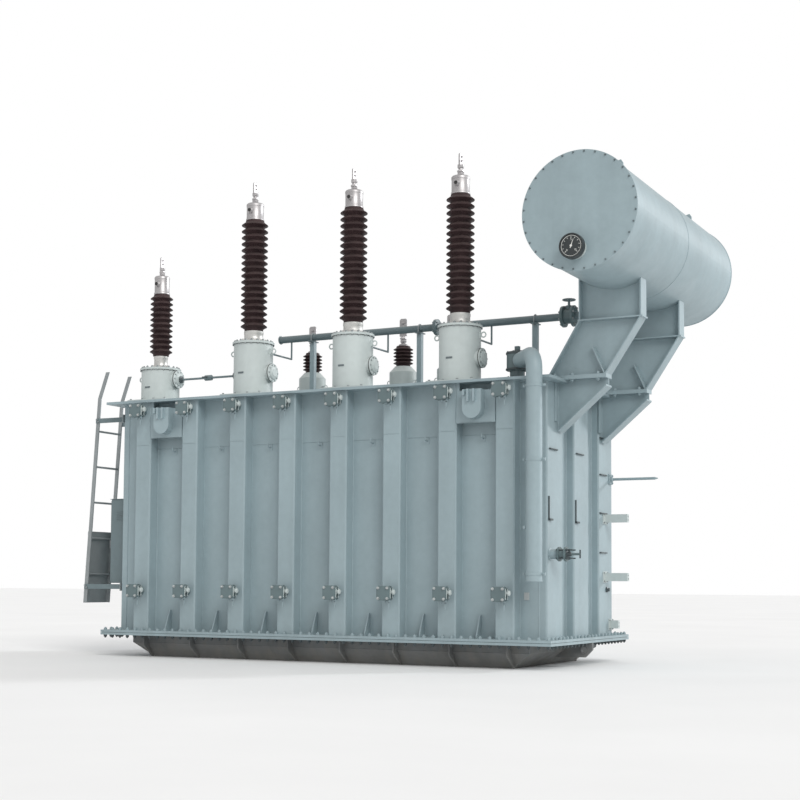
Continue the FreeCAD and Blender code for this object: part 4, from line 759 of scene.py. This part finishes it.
def make_valve_fittings():
    """Corner bolts, through studs, a vent knob and a locking lever on every radiator valve, and two light
    strips on the +X side of each flange stack that are painted highlight for its lit side.
    """
    bolts, levers, knobs_and_lit_strips, plates = (bmesh.new() for _ in range(4))
    corner = 0.057
    half = 0.074
    cut = half * 0.7
    blank = [(-cut, -half), (cut, -half), (half, -cut), (half, cut)]
    blank += [(-a, -b) for a, b in blank]
    for side, sign in (("front", -1), ("rear", 1)):
        out = Y * sign
        for low, high in solids(f"{side}_upper_valves") + solids(f"{side}_lower_valves"):
            centre = (low + high) / 2
            face = Vector((centre.x, low.y if sign < 0 else high.y, centre.z))
            for a, b in CORNERS:
                at = face + X * (a * corner) + Z * (b * corner)
                bolt(bolts, at, out, flats=0.027, head=0.015, stud=0.010)
                bolt(bolts, at - out * 0.090, -out, flats=0.027, head=0.013, stud=0.006)
                tube(bolts, [at - out * 0.086, at - out * 0.004], 0.008, 8)
            slab(plates, face - out * 0.002, out, X, blank, 0.004)
            # Painted highlight: two thin light-paint strips on the +X side of the flange stack stand in for
            # its lit side.
            for back in (0.024, 0.080):
                slab(knobs_and_lit_strips, face + X * 0.078 - out * back, X, Z, rectangle(0.056, 0.008), 0.004)
            middle = face - out * 0.052
            lathe(knobs_and_lit_strips, middle + X * 0.060 + Z * 0.012, X, [
                (0.030, 0), (0.030, 0.010), (0.015, 0.014), (0.015, 0.034), (0.026, 0.038), (0.030, 0.046),
                (0.028, 0.056), (0.016, 0.062), (0, 0.063),
            ], 16)
            lathe(levers, middle - Z * 0.060, -Z, [
                (0.020, 0), (0.020, 0.030), (0.014, 0.034), (0.014, 0.046), (0, 0.048),
            ], 14)
            slab(levers, middle - Z * 0.096 + X * 0.010, -Z, X, oblong(-0.018, 0.052, -0.006, 0.006), 0.010)
            slab(levers, middle + X * 0.054 - Y * 0.006 - Z * 0.058, Y, Z, [
                (-0.110, -0.004), (-0.110, 0.004), (0, 0.012), (0, -0.012),
            ], 0.012)
    piece("radiator_valve_bolts", bolts, "bolt_light")
    piece("radiator_valve_levers", levers, "tank_paint", 40)
    piece("radiator_valve_knobs_and_lit_strips", knobs_and_lit_strips, "turret_paint", 40)
    piece("radiator_valve_blanks", plates, "valve_paint", bevel=0.0015)


# ---- lifting bays and walls

def make_wall_fittings():
    """Hooks and seams on the panels, and edges and welds of the lifting blocks."""
    hooks, seams = bmesh.new(), bmesh.new()
    seam = 0.0035
    hook_z, rib_seam_z, panel_seam_z = (cover_low.z - drop for drop in (0.60, 0.52, 0.56))
    for side, sign in (("front", -1), ("rear", 1)):
        out = Y * sign
        rib_y, wall_y = sign * RIB_Y, sign * WALL_Y
        for left, right in zip(front_ribs, front_ribs[1:]):
            at = Vector(((left[1].x + right[0].x) / 2 + 0.03, wall_y, hook_z))
            slab(hooks, at - out * 0.002, out, X, rectangle(0.020, 0.034), 0.008)
            bends = ((0, 0), (0.045, 0), (0.062, 0.012), (0.064, 0.050))
            hook = [at + out * reach + Z * rise for reach, rise in bends]
            tube(hooks, hook, 0.007, 8)
            tube(seams, [(left[1].x, wall_y, panel_seam_z), (right[0].x, wall_y, panel_seam_z)], seam, 6)
        for low, high in front_ribs:
            tube(seams, [(low.x + 0.014, rib_y, rib_seam_z), (high.x - 0.014, rib_y, rib_seam_z)], seam, 6)
        for bracket in solids(f"{side}_lifting_brackets"):
            face = Vector((middle_of(bracket).x, rib_y, cover_low.z))
            edge = [face + X * -0.110 - Z * 0.087, face + X * -0.110 - Z * 0.290]
            edge += arc(face - Z * 0.290, X, Z, 0.110, 180, 360, 14)
            edge += [face + X * 0.110 - Z * 0.087]
            tube(seams, edge, 0.007, 6)
            lug = face + out * 0.110 - Z * 0.120 - X * 0.085
            slab(hooks, lug, out, X, rectangle(0.012, 0.030), 0.030)
            for drop in (0.087, 0.438):
                tube(seams, [face - X * 0.190 - Z * drop, face + X * 0.190 - Z * drop], 0.004, 6)
    piece("wall_hooks", hooks, "tank_paint", 40)
    piece("wall_seams", seams, "tank_paint", 60)


# ---- conservator

def make_conservator_fittings():
    """Rim bolts, seams, lifting ears and top flanges of the conservator, and its gauge."""
    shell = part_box("conservator_shell")
    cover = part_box("conservator_front_cover")
    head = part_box("conservator_rear_head")
    gauge = middle_of(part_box("oil_level_gauge"))
    axis = middle_of(shell)
    axis.y = 0
    rim = (cover[1].x - cover[0].x) / 2
    bolts = bmesh.new()
    count = 32
    bolt_ring(
        bolts, axis + Y * cover[0].y, -Y, rim - 0.017, count, start=math.pi / count,
        flats=0.016, head=0.010, stud=0.004,
    )
    piece("conservator_rim_bolts", bolts, "bolt_grey")

    seams = bmesh.new()
    radius = rim - 0.013
    front = cover[1].y + 0.020
    for y, thick in ((front, 0.007), (0, 0.004), (head[0].y, 0.007)):
        tube(seams, circle(axis + Y * y, X, Z, radius, 96), thick, 6, closed=True)
    side = axis - X * (radius * 0.60) + Z * (radius * 0.80)
    tube(seams, [side + Y * front, side], 0.004, 6)
    ear = [(0, -0.055), (0, 0.055), (0.055, 0.035), (0.080, 0), (0.055, -0.035)]
    for lean in (-22, 22):
        out = heading(Z, X, math.radians(lean))
        for y in (-1.25, 1.25):
            slab(seams, axis + Y * (y - 0.011) + out * (radius - 0.003), Y, out, ear, 0.022)
    piece("conservator_seams", seams, "tank_paint", 50)

    top = bmesh.new()
    for y, neck in ((-1.55, 0.055), (0.55, 0.090), (1.30, 0.045)):
        at = axis + Y * y + Z * (radius - 0.006)
        lid = neck * 1.25
        lathe(top, at, Z, [
            (neck, 0), (neck, 0.020), (lid, 0.022), (lid, 0.034), (neck * 1.22, 0.036), (0, 0.036),
        ], 28)
        bolt_ring(top, at + Z * 0.036, Z, neck * 1.05, 8, flats=0.016, head=0.009)
    piece("conservator_top_fittings", top, "tank_paint", 40)
    make_gauge(Vector((gauge.x, cover[0].y, gauge.z)))


def make_gauge(foot):
    """The oil-level gauge: light neck, black head, and a recessed dial with plain numbers."""
    neck = bmesh.new()
    lathe(neck, foot + Y * 0.001, -Y, [
        (0.112, 0), (0.112, 0.018), (0.096, 0.021), (0.096, 0.071), (0, 0.071),
    ], 48)
    bolt_ring(neck, foot - Y * 0.017, -Y, 0.104, 8, flats=0.012, head=0.008)
    piece("gauge_neck", neck, "turret_paint", 40)
    head = bmesh.new()
    lathe(head, foot - Y * 0.068, -Y, [
        (0, 0), (0.118, 0), (0.130, 0.010), (0.130, 0.072), (0.127, 0.081), (0.118, 0.0815),
        (0.114, 0.072), (0, 0.072),
    ], 64)
    piece("gauge_head", head, "gauge_black", 35, replaces=("oil_level_gauge",))
    marks = bmesh.new()
    face = foot - Y * 0.140
    first, sweep, steps = math.radians(225), math.radians(270), 10
    tube(marks, circle(face, X, Z, 0.104, 64), 0.0022, 6, closed=True)
    for i in range(steps + 1):
        out = heading(X, Z, first - sweep * i / steps)
        length = 0.022 if i % 5 == 0 else 0.013
        slab(marks, face + out * 0.094, -Y, out, oblong(-length, 0, -0.0022, 0.0022), 0.0012)
    slab(marks, face - Y * 0.002, -Y, heading(X, Z, math.radians(70)), [
        (-0.024, -0.005), (0.074, -0.0015), (0.074, 0.0015), (-0.024, 0.005),
    ], 0.002)
    lathe(marks, face, -Y, [(0.012, 0), (0.012, 0.006), (0, 0.007)], 18)
    piece("gauge_marks", marks, "dial_white", 35)
    for number in (0, 5, 10):
        at = face + heading(X, Z, first - sweep * number / steps) * 0.062
        digits(f"gauge_number_{number}", str(number), at, 0.026)


def digits(name, text, at, size):
    """A generic dial number as a flat raised mesh that faces -Y."""
    curve = bpy.data.curves.new(name, "FONT")
    curve.body = text
    curve.size = size
    curve.extrude = 0.0008
    curve.align_x = "CENTER"
    curve.align_y = "CENTER"
    shape = bpy.data.objects.new(name + "_shape", curve)
    scene.collection.objects.link(shape)
    bpy.context.view_layer.update()
    mesh = bpy.data.meshes.new_from_object(shape.evaluated_get(bpy.context.evaluated_depsgraph_get()))
    bpy.data.objects.remove(shape)
    bm = bmesh.new()
    bm.from_mesh(mesh)
    bpy.data.meshes.remove(mesh)
    bmesh.ops.remove_doubles(bm, verts=bm.verts, dist=0.00005)
    turn = Matrix(((1, 0, 0), (0, 0, -1), (0, 1, 0)))
    bmesh.ops.transform(bm, matrix=Matrix.Translation(at) @ turn.to_4x4(), verts=bm.verts)
    piece(name, bm, "dial_white")


# ---- supports and end wall

def make_support_fittings():
    """Foot bolts, welded edges, a stiffener on each support and the brackets' edge bars."""
    bolts, edges = bmesh.new(), bmesh.new()
    foot_top = TOP + 0.044
    rib_face = WALL_X + 0.090
    for bracket in solids("support_brackets"):
        y = middle_of(bracket).y
        nose = bracket[1].x
        for x in (WALL_X + 0.07, WALL_X + 0.27, nose - 0.10):
            for sign in (-1, 1):
                at = Vector((x, y + sign * 0.062, foot_top))
                bolt(bolts, at, Z, flats=0.036, head=0.020, stud=0.010)
                bolt(bolts, at - Z * 0.044, -Z, flats=0.036, head=0.018, stud=0.008)
        for level in (0.011, 0.033):
            lathe(edges, (nose - 0.012, y - 0.089, TOP + level), Y, [(0.0105, 0), (0.0105, 0.178)], 14)
        stiffener = [(0, 0), (0.014, 0), (-0.126, -0.30), (-0.140, -0.30)]
        slab(edges, (nose - 0.03, y - 0.084, foot_top), Y, X, stiffener, 0.168)
        weld = y - 0.008
        tube(edges, [(WALL_X + 0.020, weld, foot_top), (nose - 0.03, weld, foot_top)], 0.006, 6)
        for weld in (y - 0.008, y + 0.008):
            tube(edges, [(rib_face, weld, TOP - 0.54), (rib_face, weld, cover_low.z)], 0.006, 6)
        strip = 0.42
        foot = (rib_face + 0.001, y - 0.10, cover_low.z - strip)
        slab(edges, foot, Z, X, oblong(0, 0.012, -0.030, 0.030), strip)
    piece("support_bolts", bolts, "tank_paint")
    piece("support_edges", edges, "tank_paint", 40, bevel=0.001)


def make_drain_valve_fittings():
    """Studs with nuts, a spindle with a T handle, and a painted sleeve on the stub."""
    centre = middle_of(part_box("drain_valve"))
    centre.x = END_X
    studs = bmesh.new()
    for angle in (45, 135, 225, 315):
        at = centre + heading(Y, Z, math.radians(angle)) * 0.062 + X * 0.085
        tube(studs, [at, at + X * 0.185], 0.007, 8)
        for step in (0, 0.112):
            lathe(studs, at + X * step, X, [(0.015, 0), (0.015, 0.012), (0.013, 0.014)], 6, turn=0.4)
    lathe(studs, centre + X * 0.186, X, [
        (0.046, 0), (0.046, 0.012), (0.030, 0.016), (0.024, 0.050), (0.019, 0.054),
    ], 20)
    tip = centre + X * 0.338
    tube(studs, [tip - Z * 0.045, tip + Z * 0.045], 0.009, 8)
    piece("drain_valve_studs", studs, "bolt_dark", 40)
    sleeve = bmesh.new()
    lathe(sleeve, centre, X, [
        (0.068, 0), (0.068, 0.008), (0.054, 0.011), (0.052, 0.020), (0.052, 0.094), (0.048, 0.0945),
    ], 32)
    piece("drain_valve_stub", sleeve, "tank_paint", 40)


def make_end_fittings():
    """Angle bars, a plug and cable clips on the end ribs, and bolts of the arms and the side rod."""
    bars = bmesh.new()
    ribs = sorted(solids("right_end_ribs"), key=lambda b: b[0].y)
    for rib in ribs[:2]:
        foot = Vector((END_X - 0.001, rib[0].y + 0.045, 1.60))
        slab(bars, foot, X, Z, oblong(0, 0.250, -0.008, 0.008), 0.014)
        slab(bars, foot, X, Y, oblong(-0.008, 0.080, -0.010, 0.010), 0.026)
    lathe(bars, (END_X, 0.84, 0.85), X, [
        (0.030, 0), (0.030, 0.016), (0.020, 0.020), (0.020, 0.040), (0, 0.042),
    ], 12)
    piece("end_angle_bars", bars, "bolt_dark", 40)

    clips = bmesh.new()
    under, over = END_X - 0.002, END_X + 0.016
    for rib, inset, heights in zip(ribs, (0.060, 0.060, 0.030), ((2.36,), (2.37,), (2.62, 2.19, 1.74, 1.28))):
        y = rib[0].y + inset
        far = y + 0.210
        for z in heights:
            tube(clips, [(under, y, z), (over, y, z), (over, far, z), (under, far, z)], 0.008, 8)
    piece("end_cable_clips", clips, "bolt_dark", 40)

    arms = bmesh.new()
    for arm in solids("cable_brackets"):
        middle = middle_of(arm)
        for a, b in CORNERS:
            at = (END_X + 0.012, middle.y + a * 0.050, middle.z + b * 0.050)
            bolt(arms, at, X, flats=0.016, head=0.009)
        for rise in (-0.020, 0.020):
            at = (arm[1].x - 0.001, middle.y, middle.z + rise)
            lathe(arms, at, X, [(0.010, 0), (0.010, 0.001), (0, 0.001)], 12)
    piece("cable_bracket_bolts", arms, "bolt_zinc")

    rod = bmesh.new()
    middle = middle_of(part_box("side_rod"))
    lathe(rod, (END_X + 0.012, middle.y, middle.z), X, [
        (0.032, 0), (0.032, 0.020), (0.024, 0.026), (0.016, 0.028),
    ], 16)
    for a, b in CORNERS:
        bolt(rod, (END_X + 0.014, middle.y + a * 0.042, middle.z + b * 0.042), X, flats=0.018, head=0.010)
    piece("side_rod_fittings", rod, "tank_paint", 40)

    tags = bmesh.new()
    slab(tags, (WALL_X - 0.14, -WALL_Y - 0.001, 0.78), -Y, X, rectangle(0.030, 0.040), 0.006)
    slab(tags, (WALL_X - 0.13, -WALL_Y + 0.001, 1.02), -Y, X, rectangle(0.020, 0.020), 0.012)
    piece("earthing_tags", tags, "bolt_light", 40)


# ---- turrets, header, relief device

def make_header_fittings():
    """Flanges, clamps, bolts and a handwheel on the header pipe, and the feed pipe's flanges."""
    low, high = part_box("header_pipe")
    z = (low.z + high.z) / 2
    radius = (high.z - low.z) / 2
    steel, bolts = bmesh.new(), bmesh.new()
    joint = Vector(((low.x + high.x) / 2 + 0.30, 0, z))
    for out in (X, -X):
        flange(steel, joint, out, radius, 0.096, 0.020, face=0.093)
        bolt_ring(bolts, joint + out * 0.020, out, 0.072, 4, start=0.78, **M14)
    lathe(steel, (low.x + 0.002, 0, z), X, [(0.052, 0), (0.054, 0.003), (0.054, 0.012), (radius, 0.014)], 36)
    clamp = 0.052
    for post in solids("header_posts"):
        x = middle_of(post).x
        for a, b in CORNERS:
            bolt(bolts, (x + a * 0.060, b * 0.060, TOP + 0.014), Z, **M14)
        loop = [Vector((x, -clamp, z - 0.075)), Vector((x, -clamp, z))]
        loop += arc((x, 0, z), -Y, Z, clamp, 8, 172, 10)
        loop += [Vector((x, clamp, z)), Vector((x, clamp, z - 0.075))]
        tube(bolts, loop, 0.007, 8)
        slab(steel, (x - 0.035, 0, z - radius - 0.012), X, Y, rectangle(0.075, 0.006), 0.070)
        for sign in (-1, 1):
            bolt(bolts, (x, sign * clamp, z - radius - 0.018), -Z, flats=0.018, head=0.012, stud=0.012)
    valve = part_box("header_valve")
    for x, out in ((valve[1].x, X), (valve[0].x, -X)):
        bolt_ring(bolts, (x, 0, z), out, 0.102, 8, start=0.39, **M14)
    middle = Vector((middle_of(valve).x, 0, z))
    lathe(steel, middle + Z * 0.080, Z, [
        (0.040, 0), (0.040, 0.040), (0.028, 0.046), (0.014, 0.050), (0.014, 0.120), (0.010, 0.124),
    ], 20)
    wheel = middle + Z * 0.190
    tube(steel, circle(wheel, X, Y, 0.070, 32), 0.008, 8, closed=True)
    for k in range(4):
        spoke = heading(X, Y, math.pi * k / 2 + 0.4)
        tube(steel, [wheel + spoke * 0.010, wheel + spoke * 0.068], 0.005, 6)
    piece("header_flanges", steel, "pipe_paint", 40)
    piece("header_bolts", bolts, "bolt_zinc")
    feed = bmesh.new()
    low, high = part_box("conservator_feed_pipe")
    lathe(feed, (high.x - radius, 0, high.z - 0.050), Z, [
        (radius, 0), (0.100, 0), (0.102, 0.003), (0.102, 0.020), (radius, 0.024),
    ], 36)
    flange(feed, (low.x + 0.28, 0, z), X, radius, 0.096, 0.040)
    piece("feed_pipe_flanges", feed, "turret_paint", 40)


def make_turret_details():
    """Lifting rings, box lids, foot welds, gaskets, a dark ring round each box lid that is painted shade for
    the lid's shadowed rim, and bare plates on the four turrets.
    """
    fittings, bolts, plates, dark = (bmesh.new() for _ in range(4))
    for turret, collar in zip(solids("turrets"), solids("bushing_collars")):
        centre = middle_above(collar)
        top = turret[1].z
        for sign in (-1, 1):
            out = X * sign
            spot = centre + out * TURRET_RADIUS + Z * (top - 0.115)
            lug = [(0, -0.045), (sign * 0.030, -0.030), (sign * 0.030, 0.030), (0, 0.045)]
            slab(fittings, spot - out * 0.010 - Y * 0.008, Y, X, lug, 0.016)
            tube(fittings, arc(spot + out * 0.052, out, Z, 0.028, 0, 345, 15), 0.008, 8, closed=True)
        out = Vector((-0.10, -1, 0)).normalized()
        plate = centre + out * (TURRET_RADIUS - 0.001) + Z * (TOP + (top - TOP) * 0.42)
        slab(plates, plate, out, Z.cross(out), rectangle(0.040, 0.010), 0.006)
        lid = centre + X * (TURRET_RADIUS + 0.050) + Z * (TOP + 0.285)
        bolt_ring(bolts, lid, X, 0.094, 10, flats=0.014, head=0.008)
        # Painted shade: a dark ring behind the box lid stands in for the shadow on the lid's outer rim.
        lathe(dark, lid - X * 0.022, X, [(0.112, 0), (0.112, 0.007), (0.095, 0.007)], 40)
        lathe(fittings, lid, X, [(0.082, 0), (0.078, 0.010), (0.060, 0.018), (0.044, 0.021)], 32)
        lathe(dark, centre + Z * (top - 0.028), Z, [(0.248, 0), (0.2475, 0.003), (0.236, 0.003)], 48)
        weld = circle(centre + Z * (TOP + 0.026), X, Y, TURRET_RADIUS + 0.001, 48)
        tube(fittings, weld, 0.006, 6, closed=True)
    piece("turret_hand_holes", fittings, "turret_paint", 40)
    piece("turret_small_bolts", bolts, "bolt_zinc")
    piece("turret_plates", plates, "bolt_grey", bevel=0.0008)
    piece("turret_gaskets_and_shade_rims", dark, "gasket", 40)


def make_link_valve():
    """The small valve with a bar handle on the pipe between the first two turrets, and its end nuts."""
    bm = bmesh.new()
    low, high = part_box("turret_link_pipe")
    middle = (low + high) / 2
    for x in (low.x + 0.004, high.x - 0.034):
        lathe(bm, (x, middle.y, middle.z), X, [
            (0.044, 0), (0.046, 0.003), (0.046, 0.012), (0.030, 0.016), (0.024, 0.030),
        ], 20)
    tube(bm, [middle, middle - Y * 0.075], 0.008, 8)
    handle = middle - Y * 0.078
    tube(bm, [handle - X * 0.040, handle + X * 0.040], 0.009, 8)
    piece("link_pipe_valve", bm, "bolt_dark", 40)


def make_relief_fittings():
    """Bolts and a lid on the relief device; a flange, straps and a weld on the discharge pipe."""
    centre = middle_above(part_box("relief_device"))
    body = bmesh.new()
    bolt_ring(body, centre + Z * (TOP + 0.028), Z, 0.125, 12, flats=0.024, head=0.013, stud=0.007)
    lathe(body, centre + Z * (TOP + 0.296), Z, [
        (0.124, 0), (0.126, 0.003), (0.126, 0.022), (0.110, 0.030),
        (0.060, 0.036), (0.040, 0.040), (0.032, 0.052),
    ], 36)
    bolt_ring(body, centre + Z * (TOP + 0.318), Z, 0.114, 8, flats=0.016, head=0.010)
    rim = [(0.118, 0), (0.128, 0.002), (0.128, 0.018), (0.118, 0.020)]
    lathe(body, centre + Z * (TOP + 0.122), Z, rim, 36)
    piece("relief_device_bolts", body, "bolt_dark", 40)

    low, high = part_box("discharge_pipe")
    radius = 0.087
    axis = Vector((high.x - radius, low.y + radius, 0))
    strap, ear = 0.031, 0.0045
    pipe = bmesh.new()
    for z in (low.z + 0.060, 2.20, 2.98):
        at = axis + Z * z
        lathe(pipe, at, Z, [
            (radius, 0), (radius + ear, 0.001), (radius + ear, strap - 0.001), (radius, strap),
        ], 40)
        for sign in (-1, 1):
            tab = oblong(0, 0.038, -0.010, 0.010)
            slab(pipe, at + X * (sign * 0.088) + Y * 0.004, Z, X * sign, tab, strap)
            bolt(pipe, at + X * (sign * 0.110) - Y * 0.006 + Z * 0.015, -Y, flats=0.016, head=0.010)
    reach = -WALL_Y - axis.y - 0.005
    for z in (2.195, low.z + 0.055):
        slab(pipe, axis - X * 0.09 + Y * 0.010 + Z * z, Z, X, oblong(0, 0.012, 0, reach), 0.040)
    lathe(pipe, axis + Z * (low.z - 0.002), Z, [(0.076, 0), (0.090, 0), (0.090, 0.012), (0.087, 0.014)], 40)
    knob = axis - X * 0.100 - Y * 0.010 + Z * 1.50
    lathe(pipe, knob, -Y, [(0.018, 0), (0.018, 0.020), (0.012, 0.024), (0, 0.025)], 12)
    piece("discharge_pipe_fittings", pipe, "tank_paint", 40)


# ---- ladder and cabinet

def make_cabinet_details():
    """Door with hinges and handle, rain lid, side louvres and cable glands of the cabinet."""
    low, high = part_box("control_cabinet")
    centre = (low + high) / 2
    width = high.y - low.y
    body, trim, gland = (bmesh.new() for _ in range(3))
    door = Vector((low.x, centre.y, centre.z))
    slab(body, door + X * 0.002, -X, Y, rectangle(width / 2 - 0.018, (high.z - low.z) / 2 - 0.020), 0.024)
    for z in (low.z + 0.125, high.z - 0.195):
        lathe(trim, (low.x - 0.012, high.y - 0.014, z), Z, [(0.011, 0), (0.011, 0.070)], 12)
    handle = door - Y * (width / 2 - 0.060)
    lathe(trim, handle - X * 0.022, -X, [(0.028, 0), (0.028, 0.008), (0.012, 0.010), (0.012, 0.030)], 16)
    grip = [(0.014, -0.010), (0.014, 0.010), (-0.090, 0.008), (-0.090, -0.008)]
    slab(trim, handle - X * 0.050, -X, Z, grip, 0.010)
    lid = oblong(0, high.x - low.x + 0.018, 0, width + 0.024)
    slab(body, (low.x - 0.020, low.y - 0.012, high.z - 0.001), Z, X, lid, 0.006)
    for i in range(5):
        lathe(gland, (centre.x, low.y + 0.10 + 0.10 * i, low.z), -Z, [
            (0.022, 0), (0.022, 0.012), (0.016, 0.014), (0.016, 0.034), (0.008, 0.038), (0, 0.038),
        ], 12)
    for i in range(6):
        for y, out in ((low.y, -Y), (high.y, Y)):
            louvre = (centre.x - 0.06, y, high.z - 0.16 - 0.022 * i)
            slab(body, louvre, out, X, oblong(0, 0.12, 0, 0.008), 0.006)
    piece("cabinet_door", body, "pipe_paint", 40, bevel=0.003)
    piece("cabinet_trim", trim, "bolt_zinc", 40)
    piece("cabinet_glands", gland, "gasket", 40)


def make_ladder_details():
    """Stay plates and bolts, and the guard's cross strips and lock."""
    middle = middle_of(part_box("ladder"))
    trim, bolts = bmesh.new(), bmesh.new()
    for stay in solids("ladder_stays"):
        low, high = stay
        z = middle_of(stay).z
        y, out = (low.y, -Y) if middle_of(stay).y < middle.y else (high.y, Y)
        for shift, rise in ((0.018, 0.012), (0.042, -0.012)):
            bolt(bolts, (low.x + shift, y, z + rise), out, flats=0.022, head=0.012)
        slab(trim, (high.x - 0.008, low.y - 0.03, z), X, Z, oblong(-0.05, 0.05, 0, 0.07), 0.008)
    low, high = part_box("ladder_guard")
    rise = high.z - low.z
    lean = high.x - low.x - 0.004
    out = Vector((-rise, 0, lean)).normalized()
    up = Vector((lean, 0, rise)).normalized()
    length = math.hypot(rise, lean)
    for at, tall in ((0.120, 0.018), (length - 0.042, 0.040), (length * 0.5, 0.014)):
        slab(trim, low + up * at + Y * 0.004, Y, up, oblong(0, tall, -0.006, 0.001), high.y - low.y - 0.008)
    lock = low + up * (length * 0.52) + Y * 0.040
    lathe(trim, lock, out, [(0.022, 0), (0.022, 0.008), (0.016, 0.012), (0, 0.013)], 16)
    piece("ladder_trim", trim, "ladder_zinc", 40)
    piece("ladder_bolts", bolts, "bolt_zinc")


def make_base_details():
    """Long seams of the base and the rims of its hauling eyes."""
    low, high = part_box("lower_tank")
    bm = bmesh.new()
    for sign in (-1, 1):
        for side in (-0.020, 0.020):
            tube(bm, circle((sign * 2.860, side, 0.1775), X, Z, 0.044, 32), 0.006, 8, closed=True)
    z = high.z - 0.092
    for y in (low.y, high.y):
        tube(bm, [(low.x + 0.01, y, z), (high.x - 0.01, y, z)], 0.005, 6)
    piece("base_seams", bm, "base_paint", 40)


# ---- make it all

make_camera()
make_light()
scene.view_settings.view_transform = "Standard"
random.seed(11)

for part in frame["record"]["subparts"]:
    dress(part["node"], looks[part["material_slot"]])

bm = bmesh.new()
slab(bm, (0, 0, -0.02), Z, X, rectangle(120, 120), 0.02)
data = bpy.data.meshes.new("floor")
bm.to_mesh(data)
bm.free()
floor = bpy.data.objects.new("floor", data)
floor.data.materials.append(make_floor_material())
scene.collection.objects.link(floor)

make_bushings()
make_low_voltage()
make_flange_bolts()
make_weld_beads()
make_valve_fittings()
make_wall_fittings()
make_conservator_fittings()
make_support_fittings()
make_drain_valve_fittings()
make_end_fittings()
make_header_fittings()
make_turret_details()
make_link_valve()
make_relief_fittings()
make_cabinet_details()
make_ladder_details()
make_base_details()
